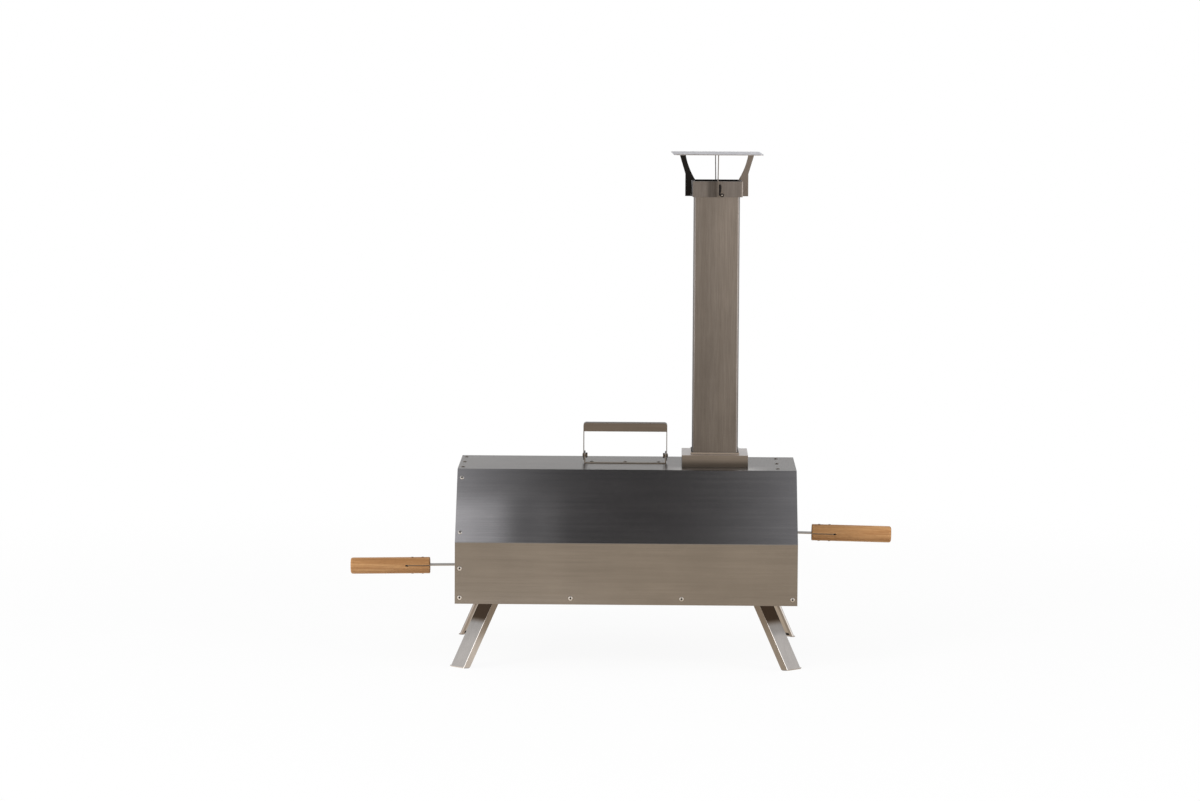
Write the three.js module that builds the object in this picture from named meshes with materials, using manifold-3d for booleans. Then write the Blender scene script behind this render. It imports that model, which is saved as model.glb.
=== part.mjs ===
// Pizza oven of folded steel sheet, for wood or pellets, on four folding legs.
// Millimetres, +Z up. The long side faces -Y, the door end +X and the fuel end -X.
// The origin lies on the ground, under the middle of the whole oven.

import * as THREE from 'three';
import { mergeVertices } from 'three/addons/utils/BufferGeometryUtils.js';
import Module from 'manifold-3d';

// Body shell
const bodyLength = 500;
const bodyWidth = 360;
const groundClearance = 96.5;
const wallRise = 90;
const slopeRise = 97.9;
const slopeRun = 91;
const shellSheet = 1.2;
const shellBend = 2;

// Clearances and overruns
const sheetGap = 0.15;
const seatGap = 0.3;
const cutOverrun = 5;
const weldTolerance = 0.0001;

// Floor
const skirtDepth = 24;
const floorSheet = 1.2;
const floorFlange = 22;
const floorEndInset = 1;

// End panels
const panelSheet = 1.2;
const panelFlange = 14;
const rearInset = 3;
const frontInset = 20;
const doorFrame = 22;
const sillRise = 14;
const doorwayCorner = 6;

// Blind rivets
const rivetHead = 6.4;
const rivetHeadRise = 1.2;
const rivetRim = 0.4;
const rivetShank = 3.2;
const rivetHoleGap = 0.2;
const rivetMandrel = 2.2;
const rivetRecess = 0.7;
const rivetTail = 2.2;

// Door
const doorOverlap = 9;
const doorSheet = 1.2;
const doorPlugDepth = 12;
const doorPlugGap = 1.2;
const doorArmHeight = 181.3;
const doorArmFoot = 26;
const doorArmReach = 43.8;
const doorDroopDegrees = 1.2;

// Fuel tray
const trayLength = 140;
const trayWidth = 200;
const trayHeight = 44;
const traySheet = 1;
const trayMouthGap = 2;
const trayFaceOverlap = 9;
const trayFaceSheet = 1.2;
const trayArmHeight = 129;
const trayArmFoot = 20;
const trayArmReach = 45.5;
const trayDroopDegrees = 0.8;
const airSlotWidth = 4;
const airSlotHeight = 9;
const airSlotRise = 30;
const airSlotPitch = 22;
const airSlotCount = 8;
const airSlotEndShare = 0.45;

// Fire grate in the tray
const grateGap = 2;
const grateRise = 14;
const grateSheet = 1.5;
const grateSlotWidth = 5;
const grateSlotPitch = 15;
const grateBorder = 14;

// Tray runners on the floor
const runnerFoot = 12;
const runnerRise = 10;
const runnerSheet = 1.2;
const runnerGap = 0.5;

// Flat arms and round wooden grips
const armSheet = 1.5;
const armWidth = 18;
const armBend = 1.5;
const gripDiameter = 24.4;
const gripLength = 119.4;
const gripEndRadius = 2.6;
const gripSlitDepth = 34;
const gripSlitGap = 0.25;
const gripSlitOffset = 0.9;
const gripEyeLength = 7;
const gripEyeHeight = 3.6;
const gripPinDiameter = 3;
const gripPinHead = 4.4;
const gripPinHeadRise = 0.7;
const gripPinGap = 0.25;
const gripPinInset = 11;
const gripPinPitch = 15.5;

// Baking stone, its rails and the flame baffle
const stoneThickness = 12;
const stoneChamfer = 2;
const stoneFrontGap = 8;
const stoneSideGap = 26.3;
const railRise = 26;
const railCrown = 16;
const railFoot = 12;
const railSheet = 1.2;
const railOverhang = 6;
const railEndInset = 12;
const baffleSheet = 1.2;
const baffleFoot = 16;
const baffleRise = 56;
const baffleLipRun = 12;
const baffleLipRise = 10;
const baffleTrayGap = 4.6;
const baffleStoneGap = 4.5;
const baffleSideGap = 8;

// Flue socket and tube
const flueX = 130;
const socketSide = 98;
const socketRise = 17.6;
const socketSheet = 1.2;
const socketFootLip = 8;
const socketCollarRise = 3;
const fluePlay = 1;
const flueSide = 68;
const flueSheet = 1.2;
const flueCorner = 3;
const flueTop = 705.3;
const flueMouthLip = 3;

// Flue cap, which sits a little askew on the tube
const capCollarSide = 74;
const capCollarRise = 23.4;
const capCollarSheet = 1.2;
const capCollarLip = 2.8;
const capBracketSheet = 1.2;
const capBracketReach = 9.5;
const capBracketKnee = 33;
const capBracketSpread = 8.8;
const capBracketHead = 9;
const capBracketToe = 5.5;
const capBracketTab = 9;
const capBracketTabTop = 4;
const capBracketTabRise = 19.5;
const capBracketTabCorner = 3;
const capBracketCurveShare = 0.35;
const capPlateSide = 132;
const capPlateSheet = 1.2;
const capPlateCorner = 5;
const capClearRise = 39.4;
const capYawDegrees = 1.75;
const capPitchDegrees = 0.7;

// Carrying bail on the roof
const bailX = -3.4;
const bailWidth = 125;
const bailDepth = 18.5;
const bailSheet = 1.2;
const bailRise = 49.1;
const bailGripFlange = 12.6;
const bailCorner = 2.6;
const bailEyeRadius = 7;
const bailBaseSheet = 1.6;
const bailBaseDepth = 18;
const bailPivotRise = 11.4;
const bailSideGap = 0.3;
const bailRivetInset = 11;
const bailScrew = 4;
const bailScrewGap = 0.2;
const bailScrewHead = 7;
const bailScrewHeadRise = 1.1;
const bailNutFlats = 6.6;
const bailNutRise = 2.8;

// Folding legs
const legSplayDegrees = 23.6;
const legInset = 64;
const legWidth = 29.5;
const legFlange = 8;
const legDepth = 22;
const legHook = 9;
const legSheet = 1.6;
const legBend = 0.8;
const legFootSheet = 2;
const legHeelCorner = 4;
const legToeCorner = 3;
const legPivotRise = 8.3;
const legWebDrop = 5.6;
const legBolt = 5;
const legBoltGap = 0.2;
const legBoltHead = 9;
const legBoltHeadRise = 1.7;
const legNutFlats = 8;
const legNutRise = 4;
const legSideGap = 0.2;

// Leg brackets
const bracketSheet = 2;
const bracketOffset = 2;
const bracketRamp = 2.5;
const bracketHalfSeat = 19;
const bracketWing = 10;
const bracketLowerInset = 2;
const bracketUpperGap = 2;
const bracketStopReach = 8;
const bracketStopRise = 7;

// Facets, as counts
const arcSteps = 3;
const rivetSides = 8;
const roundSides = 20;
const holeSides = 10;
const nutSides = 6;
const squareSides = 4;
const curveSteps = 6;

// Levels and places that follow from the sizes above
const sides = [-1, 1];
const bailRivetSteps = [-1, 0, 1];
const pinPlaces = [gripPinInset, gripPinInset + gripPinPitch];
const wallTop = groundClearance + wallRise;
const roofTop = wallTop + slopeRise;
const halfLength = bodyLength / 2;
const halfWidth = bodyWidth / 2;
const roofHalf = halfWidth - slopeRun;
const innerHalfWidth = halfWidth - shellSheet;
const floorTop = groundClearance + skirtDepth + floorSheet;
const rearPanelX = -halfLength + rearInset;
const frontPanelX = halfLength - frontInset;
const frontPanelBack = frontPanelX - panelFlange;
const rivetHoleRadius = rivetShank / 2 + rivetHoleGap;

// Materials
const steel = new THREE.MeshStandardMaterial({ color: 0x8f857c, roughness: 0.34, metalness: 0.95 });
const wallSteel = new THREE.MeshStandardMaterial({ color: 0x857a6f, roughness: 0.3, metalness: 0.95 });
const darkSteel = new THREE.MeshStandardMaterial({ color: 0x4a443f, roughness: 0.5, metalness: 0.85 });
const zinc = new THREE.MeshStandardMaterial({ color: 0xa7a6a2, roughness: 0.4, metalness: 0.9 });
const beech = new THREE.MeshStandardMaterial({ color: 0xc07a45, roughness: 0.6, metalness: 0 });
const cordierite = new THREE.MeshStandardMaterial({ color: 0xcdb995, roughness: 0.9, metalness: 0 });

// Booleans
const wasm = await Module();
wasm.setup();

/** Turns a closed geometry into a solid on a fine grid, where faces that should meet do. */
function toSolid(geometry) {
  const bare = geometry.clone();
  bare.deleteAttribute('normal');
  bare.deleteAttribute('uv');
  const merged = mergeVertices(bare, weldTolerance);
  const { array } = merged.attributes.position;
  return new wasm.Manifold(new wasm.Mesh({
    numProp: 3,
    vertProperties: array.map((value) => Math.round(value / weldTolerance) * weldTolerance),
    triVerts: new Uint32Array(merged.index.array),
  }));
}

/** Turns a solid back into a geometry. */
function toGeometry(solid) {
  const mesh = solid.getMesh();
  const geometry = new THREE.BufferGeometry();
  geometry.setAttribute('position', new THREE.BufferAttribute(mesh.vertProperties, 3));
  geometry.setIndex(new THREE.BufferAttribute(mesh.triVerts, 1));
  geometry.computeVertexNormals();
  return geometry;
}

/** Cuts every tool out of the stock. */
function cut(stock, tools) {
  const rest = tools.reduce((solid, tool) => solid.subtract(toSolid(tool)), toSolid(stock));
  return toGeometry(rest);
}

/** Joins geometries that touch or overlap. */
function join(geometries) {
  const [first, ...others] = geometries.map(toSolid);
  return toGeometry(others.reduce((solid, other) => solid.add(other), first));
}

/** Keeps what two geometries have in common. */
function common(first, second) {
  return toGeometry(toSolid(first).intersect(toSolid(second)));
}

// Outlines
const point = (x, y) => new THREE.Vector2(x, y);

/** The unit vector to the right of the way from one point to another. */
function rightOf(from, to) {
  const way = to.clone().sub(from).normalize();
  return point(way.y, -way.x);
}

/** Moves an open path to the right of its own direction, with mitred corners. */
function offsetPath(path, distance) {
  return path.map((corner, i) => {
    const before = rightOf(path[Math.max(i - 1, 0)], path[Math.max(i, 1)]);
    const last = path.length - 1;
    const after = rightOf(path[Math.min(i, last - 1)], path[Math.min(i + 1, last)]);
    const side = before.clone().add(after).normalize();
    return corner.clone().addScaledVector(side, distance / side.dot(before));
  });
}

/** Rounds a corner between two neighbours with an arc. */
function arcAt(before, corner, after, radius) {
  const back = before.clone().sub(corner).normalize();
  const ahead = after.clone().sub(corner).normalize();
  const half = Math.acos(THREE.MathUtils.clamp(back.dot(ahead), -1, 1)) / 2;
  const middle = back.clone().add(ahead).normalize();
  const centre = corner.clone().addScaledVector(middle, radius / Math.sin(half));
  const start = corner.clone().addScaledVector(back, radius / Math.tan(half)).sub(centre);
  const end = corner.clone().addScaledVector(ahead, radius / Math.tan(half)).sub(centre);
  const sweep = Math.atan2(start.cross(end), start.dot(end));
  return Array.from({ length: arcSteps + 1 }, (_, step) => (
    start.clone().rotateAround(point(0, 0), (sweep * step) / arcSteps).add(centre)
  ));
}

/** The section of a sheet folded along a path: to its right, or to its left if negative. */
function sheetSection(path, sheet, bend) {
  const thickness = Math.abs(sheet);
  const rounded = (line, towards, away) => line.flatMap((corner, i) => {
    if (i === 0 || i === line.length - 1) return [corner];
    const turn = rightOf(path[i - 1], path[i]).cross(rightOf(path[i], path[i + 1]));
    const radius = turn * sheet < 0 ? towards : away;
    return arcAt(line[i - 1], corner, line[i + 1], radius);
  });
  const face = rounded(path, bend + thickness, bend);
  const back = rounded(offsetPath(path, sheet), bend, bend + thickness);
  return new THREE.Shape([...face, ...back.reverse()]);
}

/** A closed outline with every corner rounded. */
function roundedOutline(corners, radius) {
  const count = corners.length;
  return new THREE.Shape(corners.flatMap((corner, i) => (
    arcAt(corners[(i + count - 1) % count], corner, corners[(i + 1) % count], radius)
  )));
}

/** The four corners of a rectangle about the origin. */
function rectangle(width, height) {
  return [
    point(-width / 2, -height / 2),
    point(width / 2, -height / 2),
    point(width / 2, height / 2),
    point(-width / 2, height / 2),
  ];
}

// Solids
const axisBasis = {
  x: new THREE.Matrix4().makeBasis(
    new THREE.Vector3(0, 1, 0), new THREE.Vector3(0, 0, 1), new THREE.Vector3(1, 0, 0),
  ),
  y: new THREE.Matrix4().makeBasis(
    new THREE.Vector3(1, 0, 0), new THREE.Vector3(0, 0, 1), new THREE.Vector3(0, -1, 0),
  ),
  z: new THREE.Matrix4(),
};

/** Extrudes an outline along an axis, centred: drawn in YZ for x, XZ for y and XY for z. */
function extrude(shape, depth, axis) {
  const geometry = new THREE.ExtrudeGeometry(shape, { depth, bevelEnabled: false });
  return geometry.translate(0, 0, -depth / 2).applyMatrix4(axisBasis[axis]);
}

/** A block between two opposite corners. */
function block(from, to) {
  const size = to.clone().sub(from);
  const centre = from.clone().add(to).multiplyScalar(1 / 2);
  return new THREE.BoxGeometry(size.x, size.y, size.z).translate(centre.x, centre.y, centre.z);
}

const at = (x, y, z) => new THREE.Vector3(x, y, z);

/** A round bar about the origin, along an axis. */
function bar(radius, length, axis, sides = holeSides) {
  const geometry = new THREE.CylinderGeometry(radius, radius, length, sides);
  return geometry.rotateX(Math.PI / 2).applyMatrix4(axisBasis[axis]);
}

/** Revolves a profile of radius and height about +Z. */
function revolve(profile, sides) {
  return new THREE.LatheGeometry(profile, sides).rotateX(Math.PI / 2);
}

/** A square ring about +Z: the profile's radii are half sides. */
function squareRing(profile) {
  const closed = [...profile, profile[0]].map(({ x, y }) => point(x * Math.SQRT2, y));
  const ring = new THREE.LatheGeometry(closed, squareSides, Math.PI / squareSides);
  return ring.rotateX(Math.PI / 2);
}

/** A blind rivet on the plane z = 0, with its head up and its tail below the grip. */
function rivetGeometry(grip) {
  const profile = [
    point(0, -grip - rivetTail),
    point(rivetShank / 2, -grip - rivetTail),
    point(rivetShank / 2, 0),
    point(rivetHead / 2, 0),
    point(rivetHead / 2, rivetRim),
    point(rivetMandrel / 2, rivetHeadRise),
    point(rivetMandrel / 2, rivetHeadRise - rivetRecess),
    point(0, rivetHeadRise - rivetRecess),
  ];
  return revolve(profile, rivetSides);
}

// Scene graph
const oven = new THREE.Group();
const chassis = new THREE.Group();
oven.add(chassis);

/** Adds one named piece to a group. */
function addPiece(parent, name, geometry, material, position = at(0, 0, 0)) {
  const mesh = new THREE.Mesh(geometry, material);
  mesh.name = name;
  mesh.position.copy(position);
  parent.add(mesh);
  return mesh;
}

// Shell
/** The body's section in YZ, from the near lower edge over the roof, moved in by an inset. */
function bodyPath(lowest, inset) {
  const outer = [
    point(-halfWidth, lowest),
    point(-halfWidth, wallTop),
    point(-roofHalf, roofTop),
    point(roofHalf, roofTop),
    point(halfWidth, wallTop),
    point(halfWidth, lowest),
  ];
  return offsetPath(outer, inset);
}

function addShell() {
  const section = sheetSection(bodyPath(groundClearance, 0), shellSheet, shellBend);
  const mouthHalf = flueSide / 2 - flueMouthLip;
  const flueMouth = block(
    at(flueX - mouthHalf, -mouthHalf, roofTop - shellSheet - cutOverrun),
    at(flueX + mouthHalf, mouthHalf, roofTop + cutOverrun),
  );
  const shell = cut(extrude(section, bodyLength, 'x'), [flueMouth, ...bailRivetHoles()]);
  addPiece(chassis, 'outer_shell', shell, wallSteel);
}

/** The holes for the bail's rivets, through its base and the roof. */
function bailRivetHoles() {
  return bailRivetSteps.map((step) => (
    bar(rivetHoleRadius, 2 * cutOverrun, 'z')
      .translate(bailX + step * bailRivetPitch, 0, roofTop)
  ));
}

function addFloor() {
  const half = innerHalfWidth - sheetGap;
  const path = [
    point(-half, floorTop - floorFlange),
    point(-half, floorTop),
    point(half, floorTop),
    point(half, floorTop - floorFlange),
  ];
  const section = sheetSection(path, floorSheet, floorSheet);
  const plate = extrude(section, bodyLength - 2 * floorEndInset, 'x');
  addPiece(chassis, 'floor_plate', plate, steel);
}

/** A shallow pan that fills the body's section, with its flange towards the oven's middle. */
function endPan(outerX, towards, opening) {
  const bottom = floorTop + sheetGap;
  const inset = shellSheet + sheetGap;
  const outline = roundedOutline(bodyPath(bottom, inset), shellBend - sheetGap);
  const hollow = new THREE.Shape(bodyPath(bottom - cutOverrun, inset + panelSheet));
  const stock = extrude(outline, panelFlange, 'x')
    .translate(outerX + (towards * panelFlange) / 2, 0, 0);
  const pocket = extrude(hollow, panelFlange, 'x')
    .translate(outerX + towards * (panelFlange / 2 + panelSheet), 0, 0);
  return cut(stock, [pocket, opening]);
}

function addRearPanel() {
  const half = trayWidth / 2 + trayMouthGap;
  const mouth = block(
    at(rearPanelX - cutOverrun, -half, floorTop - cutOverrun),
    at(rearPanelX + cutOverrun, half, floorTop + trayHeight + trayMouthGap),
  );
  addPiece(chassis, 'rear_panel', endPan(rearPanelX, 1, mouth), steel);
}

/** The doorway's outline, or one that is larger by a margin all round. */
function doorwayOutline(margin) {
  const inset = shellSheet + doorFrame - margin;
  return roundedOutline(bodyPath(floorTop + sillRise - margin, inset), doorwayCorner + margin);
}

function addFrontPanel() {
  const doorway = extrude(doorwayOutline(0), 2 * cutOverrun, 'x')
    .translate(frontPanelX, 0, 0);
  addPiece(chassis, 'front_panel', endPan(frontPanelX, -1, doorway), steel);
}

// Arms and grips
/** The angled arm of a grip: its foot stands on a face at x = 0 and its flat runs along +X. */
function armGeometry(foot, reach, droop) {
  const path = [
    point(0, foot),
    point(0, 0),
    point(reach, -reach * Math.tan(droop)),
  ];
  const strip = extrude(sheetSection(path, -armSheet, armBend), armWidth, 'y');
  const start = reach - gripSlitDepth + gripSlitGap;
  const pinHoles = pinPlaces.map((place) => (
    bar(gripPinDiameter / 2 + gripPinGap, 2 * cutOverrun, 'z')
      .translate((start + place) * Math.cos(droop), 0, -(start + place) * Math.sin(droop))
  ));
  return cut(strip, pinHoles);
}

/** A turned wooden grip along +X with a slit sawn off its middle, the eye at its end and two pin holes. */
function gripGeometry(slitPlace) {
  const radius = gripDiameter / 2;
  const round = (centre, from) => Array.from({ length: arcSteps + 1 }, (_, step) => {
    const angle = from + ((Math.PI / 2) * step) / arcSteps;
    return point(
      radius - gripEndRadius + gripEndRadius * Math.cos(angle),
      centre + gripEndRadius * Math.sin(angle),
    );
  });
  const profile = [
    point(0, 0),
    ...round(gripEndRadius, -Math.PI / 2),
    ...round(gripLength - gripEndRadius, 0),
    point(0, gripLength),
  ];
  const dowel = revolve(profile, roundSides).applyMatrix4(axisBasis.x);
  const slitHalf = armSheet / 2 + gripSlitGap;
  const slit = block(
    at(-cutOverrun, -radius - cutOverrun, slitPlace - slitHalf),
    at(gripSlitDepth, radius + cutOverrun, slitPlace + slitHalf),
  );
  const eye = bar(gripEyeLength / 2, gripDiameter + cutOverrun, 'y')
    .scale(1, 1, gripEyeHeight / gripEyeLength)
    .translate(gripSlitDepth, 0, slitPlace);
  const pinHoles = pinPlaces.map((x) => (
    bar(gripPinDiameter / 2 + gripPinGap, gripDiameter + cutOverrun, 'z').translate(x, 0, 0)
  ));
  return cut(dowel, [slit, eye, ...pinHoles]);
}

/** One pin through a grip, with a low head at each end. */
function gripPinGeometry() {
  const half = gripDiameter / 2;
  const profile = [
    point(0, -half - gripPinHeadRise),
    point(gripPinHead / 2, -half - gripPinHeadRise),
    point(gripPinHead / 2, -half),
    point(gripPinDiameter / 2, -half),
    point(gripPinDiameter / 2, half),
    point(gripPinHead / 2, half),
    point(gripPinHead / 2, half + gripPinHeadRise),
    point(0, half + gripPinHeadRise),
  ];
  return revolve(profile, holeSides);
}

/** Adds an arm, its grip and the grip's pins to a face that looks along +X. */
function addHandle(parent, name, { foot, reach, droopDegrees, slitSide }) {
  const droop = THREE.MathUtils.degToRad(droopDegrees);
  const strip = reach + gripSlitDepth - gripSlitGap;
  addPiece(parent, `${name}_arm`, armGeometry(foot, strip, droop), steel);
  const hand = new THREE.Group();
  const slitPlace = slitSide * gripSlitOffset;
  const middle = armSheet / 2 - slitPlace;
  hand.position.set(reach * Math.cos(droop), 0, middle - reach * Math.sin(droop));
  hand.rotation.y = droop;
  parent.add(hand);
  addPiece(hand, `${name}_grip`, gripGeometry(slitPlace), beech);
  pinPlaces.forEach((x, i) => {
    addPiece(hand, `${name}_grip_pin_${i + 1}`, gripPinGeometry(), darkSteel, at(x, 0, 0));
  });
}

// Door
function addDoor() {
  const door = new THREE.Group();
  door.position.x = frontPanelX + seatGap;
  chassis.add(door);
  const plate = extrude(doorwayOutline(doorOverlap), doorSheet, 'x').translate(doorSheet / 2, 0, 0);
  addPiece(door, 'door_plate', plate, steel);
  const plug = doorwayOutline(-doorPlugGap);
  const hollow = doorwayOutline(-doorPlugGap - doorSheet);
  const pan = cut(
    extrude(plug, doorPlugDepth, 'x').translate(-doorPlugDepth / 2, 0, 0),
    [extrude(hollow, doorPlugDepth, 'x').translate(-doorPlugDepth / 2 - doorSheet, 0, 0)],
  );
  addPiece(door, 'door_liner', pan, darkSteel);
  const handle = new THREE.Group();
  handle.position.set(doorSheet, 0, doorArmHeight);
  door.add(handle);
  addHandle(handle, 'door', {
    foot: doorArmFoot,
    reach: doorArmReach,
    droopDegrees: doorDroopDegrees,
    slitSide: -1,
  });
}

// Fuel tray
const trayOuterX = rearPanelX - trayFaceSheet - seatGap;
const trayBackX = rearPanelX - seatGap;
const trayBottom = floorTop + seatGap;
const trayEndX = trayBackX + trayLength;
const baffleBack = trayEndX + baffleTrayGap;

/** A row of upright air slots through the tray's rear wall and its face. */
function airSlots(x, level) {
  const shape = roundedOutline(rectangle(airSlotWidth, airSlotHeight), airSlotWidth * airSlotEndShare);
  return Array.from({ length: airSlotCount }, (_, i) => (
    extrude(shape, 2 * cutOverrun, 'x')
      .translate(x, (i - (airSlotCount - 1) / 2) * airSlotPitch, level)
  ));
}

function addTray() {
  const tray = new THREE.Group();
  chassis.add(tray);
  const half = trayWidth / 2;
  const slots = airSlots(trayBackX, floorTop + airSlotRise);
  const stock = block(at(trayBackX, -half, trayBottom), at(trayEndX, half, trayBottom + trayHeight));
  const hollow = block(
    at(trayBackX + traySheet, -half + traySheet, trayBottom + traySheet),
    at(trayEndX - traySheet, half - traySheet, trayBottom + trayHeight + cutOverrun),
  );
  addPiece(tray, 'fuel_tray', cut(stock, [hollow, ...slots]), darkSteel);
  const face = block(
    at(trayOuterX, -half - trayFaceOverlap, trayBottom),
    at(trayBackX, half + trayFaceOverlap, trayBottom + trayHeight + trayFaceOverlap),
  );
  addPiece(tray, 'tray_face', cut(face, slots), steel);
  const handle = new THREE.Group();
  handle.position.set(trayOuterX, 0, trayArmHeight);
  handle.rotation.z = Math.PI;
  tray.add(handle);
  addHandle(handle, 'tray', {
    foot: trayArmFoot,
    reach: trayArmReach,
    droopDegrees: trayDroopDegrees,
    slitSide: 1,
  });
  addPiece(tray, 'fire_grate', grateGeometry(), darkSteel);
}

/** A slotted plate on two folded side feet, standing on the tray's bottom. */
function grateGeometry() {
  const half = trayWidth / 2 - traySheet - grateGap;
  const foot = trayBottom + traySheet;
  const path = [
    point(-half, foot),
    point(-half, foot + grateRise),
    point(half, foot + grateRise),
    point(half, foot),
  ];
  const from = trayBackX + traySheet + grateGap;
  const to = trayEndX - traySheet - grateGap;
  const plate = extrude(sheetSection(path, grateSheet, grateSheet), to - from, 'x')
    .translate((from + to) / 2, 0, 0);
  const slotLength = (to - from - 3 * grateBorder) / 2;
  const rows = Math.floor((2 * half - 2 * grateBorder) / grateSlotPitch);
  const slots = [from + grateBorder, to - grateBorder - slotLength].flatMap((x) => (
    Array.from({ length: rows + 1 }, (_, i) => {
      const y = (i - rows / 2) * grateSlotPitch;
      return block(
        at(x, y - grateSlotWidth / 2, foot + grateRise - cutOverrun),
        at(x + slotLength, y + grateSlotWidth / 2, foot + grateRise + cutOverrun),
      );
    })
  ));
  return cut(plate, slots);
}

function addRunners() {
  sides.forEach((side) => {
    const inner = side * (trayWidth / 2 + runnerGap);
    const outward = inner + side * runnerSheet;
    const path = [
      point(outward, floorTop + runnerRise),
      point(outward, floorTop),
      point(outward + side * runnerFoot, floorTop),
    ];
    const section = sheetSection(path, side * -runnerSheet, runnerSheet);
    const from = rearPanelX + panelFlange + sheetGap;
    const to = baffleBack - sheetGap;
    const runner = extrude(section, to - from, 'x').translate((from + to) / 2, 0, 0);
    addPiece(chassis, side < 0 ? 'tray_runner_near' : 'tray_runner_far', runner, steel);
  });
}

// Stone, rails and baffle
const stoneFront = frontPanelBack - stoneFrontGap;
const stoneBack = baffleBack + baffleSheet + baffleStoneGap;
const stoneBottom = floorTop + railRise;
const stoneHalf = innerHalfWidth - stoneSideGap;

/** The stone's section over a half width, with its upper edges chamfered. */
function stoneSection(half) {
  return new THREE.Shape([
    point(-half, 0),
    point(-half, stoneThickness - stoneChamfer),
    point(-half + stoneChamfer, stoneThickness),
    point(half - stoneChamfer, stoneThickness),
    point(half, stoneThickness - stoneChamfer),
    point(half, 0),
  ]);
}

function addStone() {
  const length = stoneFront - stoneBack;
  const stone = common(
    extrude(stoneSection(stoneHalf), length, 'x'),
    extrude(stoneSection(length / 2), 2 * stoneHalf, 'y'),
  );
  const place = at((stoneFront + stoneBack) / 2, 0, stoneBottom);
  addPiece(chassis, 'baking_stone', stone, cordierite, place);
}

function addStoneRails() {
  const from = stoneBack + baffleFoot + railEndInset;
  const to = stoneFront - railEndInset;
  sides.forEach((side) => {
    const crown = side * (stoneHalf - railOverhang);
    const inner = crown - side * railCrown;
    const path = [
      point(crown + side * railFoot, floorTop + railSheet),
      point(crown, floorTop + railSheet),
      point(crown, stoneBottom),
      point(inner, stoneBottom),
      point(inner, floorTop + railSheet),
      point(inner - side * railFoot, floorTop + railSheet),
    ];
    const section = sheetSection(path, side * -railSheet, railSheet);
    const rail = extrude(section, to - from, 'x').translate((from + to) / 2, 0, 0);
    addPiece(chassis, side < 0 ? 'stone_rail_near' : 'stone_rail_far', rail, steel);
  });
}

function addBaffle() {
  const path = [
    point(baffleBack + baffleFoot, floorTop),
    point(baffleBack, floorTop),
    point(baffleBack, floorTop + baffleRise),
    point(baffleBack + baffleLipRun, floorTop + baffleRise + baffleLipRise),
  ];
  const width = 2 * (innerHalfWidth - baffleSideGap);
  const plate = extrude(sheetSection(path, baffleSheet, baffleSheet), width, 'y');
  addPiece(chassis, 'flame_baffle', plate, darkSteel);
}

// Flue
function addSocket() {
  const half = socketSide / 2;
  const mouth = flueSide / 2 + fluePlay;
  const top = socketRise - socketSheet;
  const ring = squareRing([
    point(half, 0),
    point(half, socketRise),
    point(mouth + socketSheet, socketRise),
    point(mouth + socketSheet, socketRise + socketCollarRise),
    point(mouth, socketRise + socketCollarRise),
    point(mouth, top),
    point(half - socketSheet, top),
    point(half - socketSheet, socketSheet),
    point(half - socketFootLip, socketSheet),
    point(half - socketFootLip, 0),
  ]);
  addPiece(chassis, 'flue_socket', ring, steel, at(flueX, 0, roofTop));
}

function addFlue() {
  const flue = new THREE.Group();
  flue.position.set(flueX, 0, 0);
  chassis.add(flue);
  const outline = roundedOutline(rectangle(flueSide, flueSide), flueCorner);
  const bore = flueSide - 2 * flueSheet;
  outline.holes.push(roundedOutline(rectangle(bore, bore), flueCorner - flueSheet));
  const length = flueTop - roofTop - seatGap;
  const tube = extrude(outline, length, 'z');
  addPiece(flue, 'flue_tube', tube, wallSteel, at(0, 0, flueTop - length / 2));
  addCap(flue);
}

/** The tab of a cap bracket in YZ, which narrows upwards and has round free corners. */
function capBracketTabOutline() {
  const low = point(-capBracketSheet / 2, 0);
  const toe = point(capBracketTab, 0);
  const tip = point(capBracketTabTop, capBracketTabRise);
  const high = point(-capBracketSheet / 2, capBracketTabRise);
  return new THREE.Shape([
    low,
    ...arcAt(low, toe, tip, capBracketTabCorner),
    ...arcAt(toe, tip, high, capBracketTabCorner),
    high,
  ]);
}

/** One cap bracket: a fin in XZ that stands on the collar's +X face, with a tab along that face. */
function capBracketGeometry() {
  const root = capCollarSide / 2 + seatGap;
  const outer = root + capBracketReach;
  const top = capCollarRise + capClearRise - seatGap;
  const toe = root - capBracketToe;
  const rest = capCollarRise + seatGap;
  const inner = outer + capBracketSpread - capBracketHead;
  const curve = new THREE.QuadraticBezierCurve(
    point(inner, top),
    point(inner - capBracketSpread * capBracketCurveShare, (top + rest) / 2),
    point(toe, rest),
  );
  const outline = new THREE.Shape([
    point(root, 0),
    point(outer, 0),
    point(outer, capBracketKnee),
    point(outer + capBracketSpread, top),
    ...curve.getPoints(curveSteps),
    point(root, rest),
  ]);
  const fin = extrude(outline, capBracketSheet, 'y');
  const tab = extrude(capBracketTabOutline(), capBracketSheet, 'x')
    .translate(root + capBracketSheet / 2, 0, 0);
  return join([fin, tab]);
}

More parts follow.
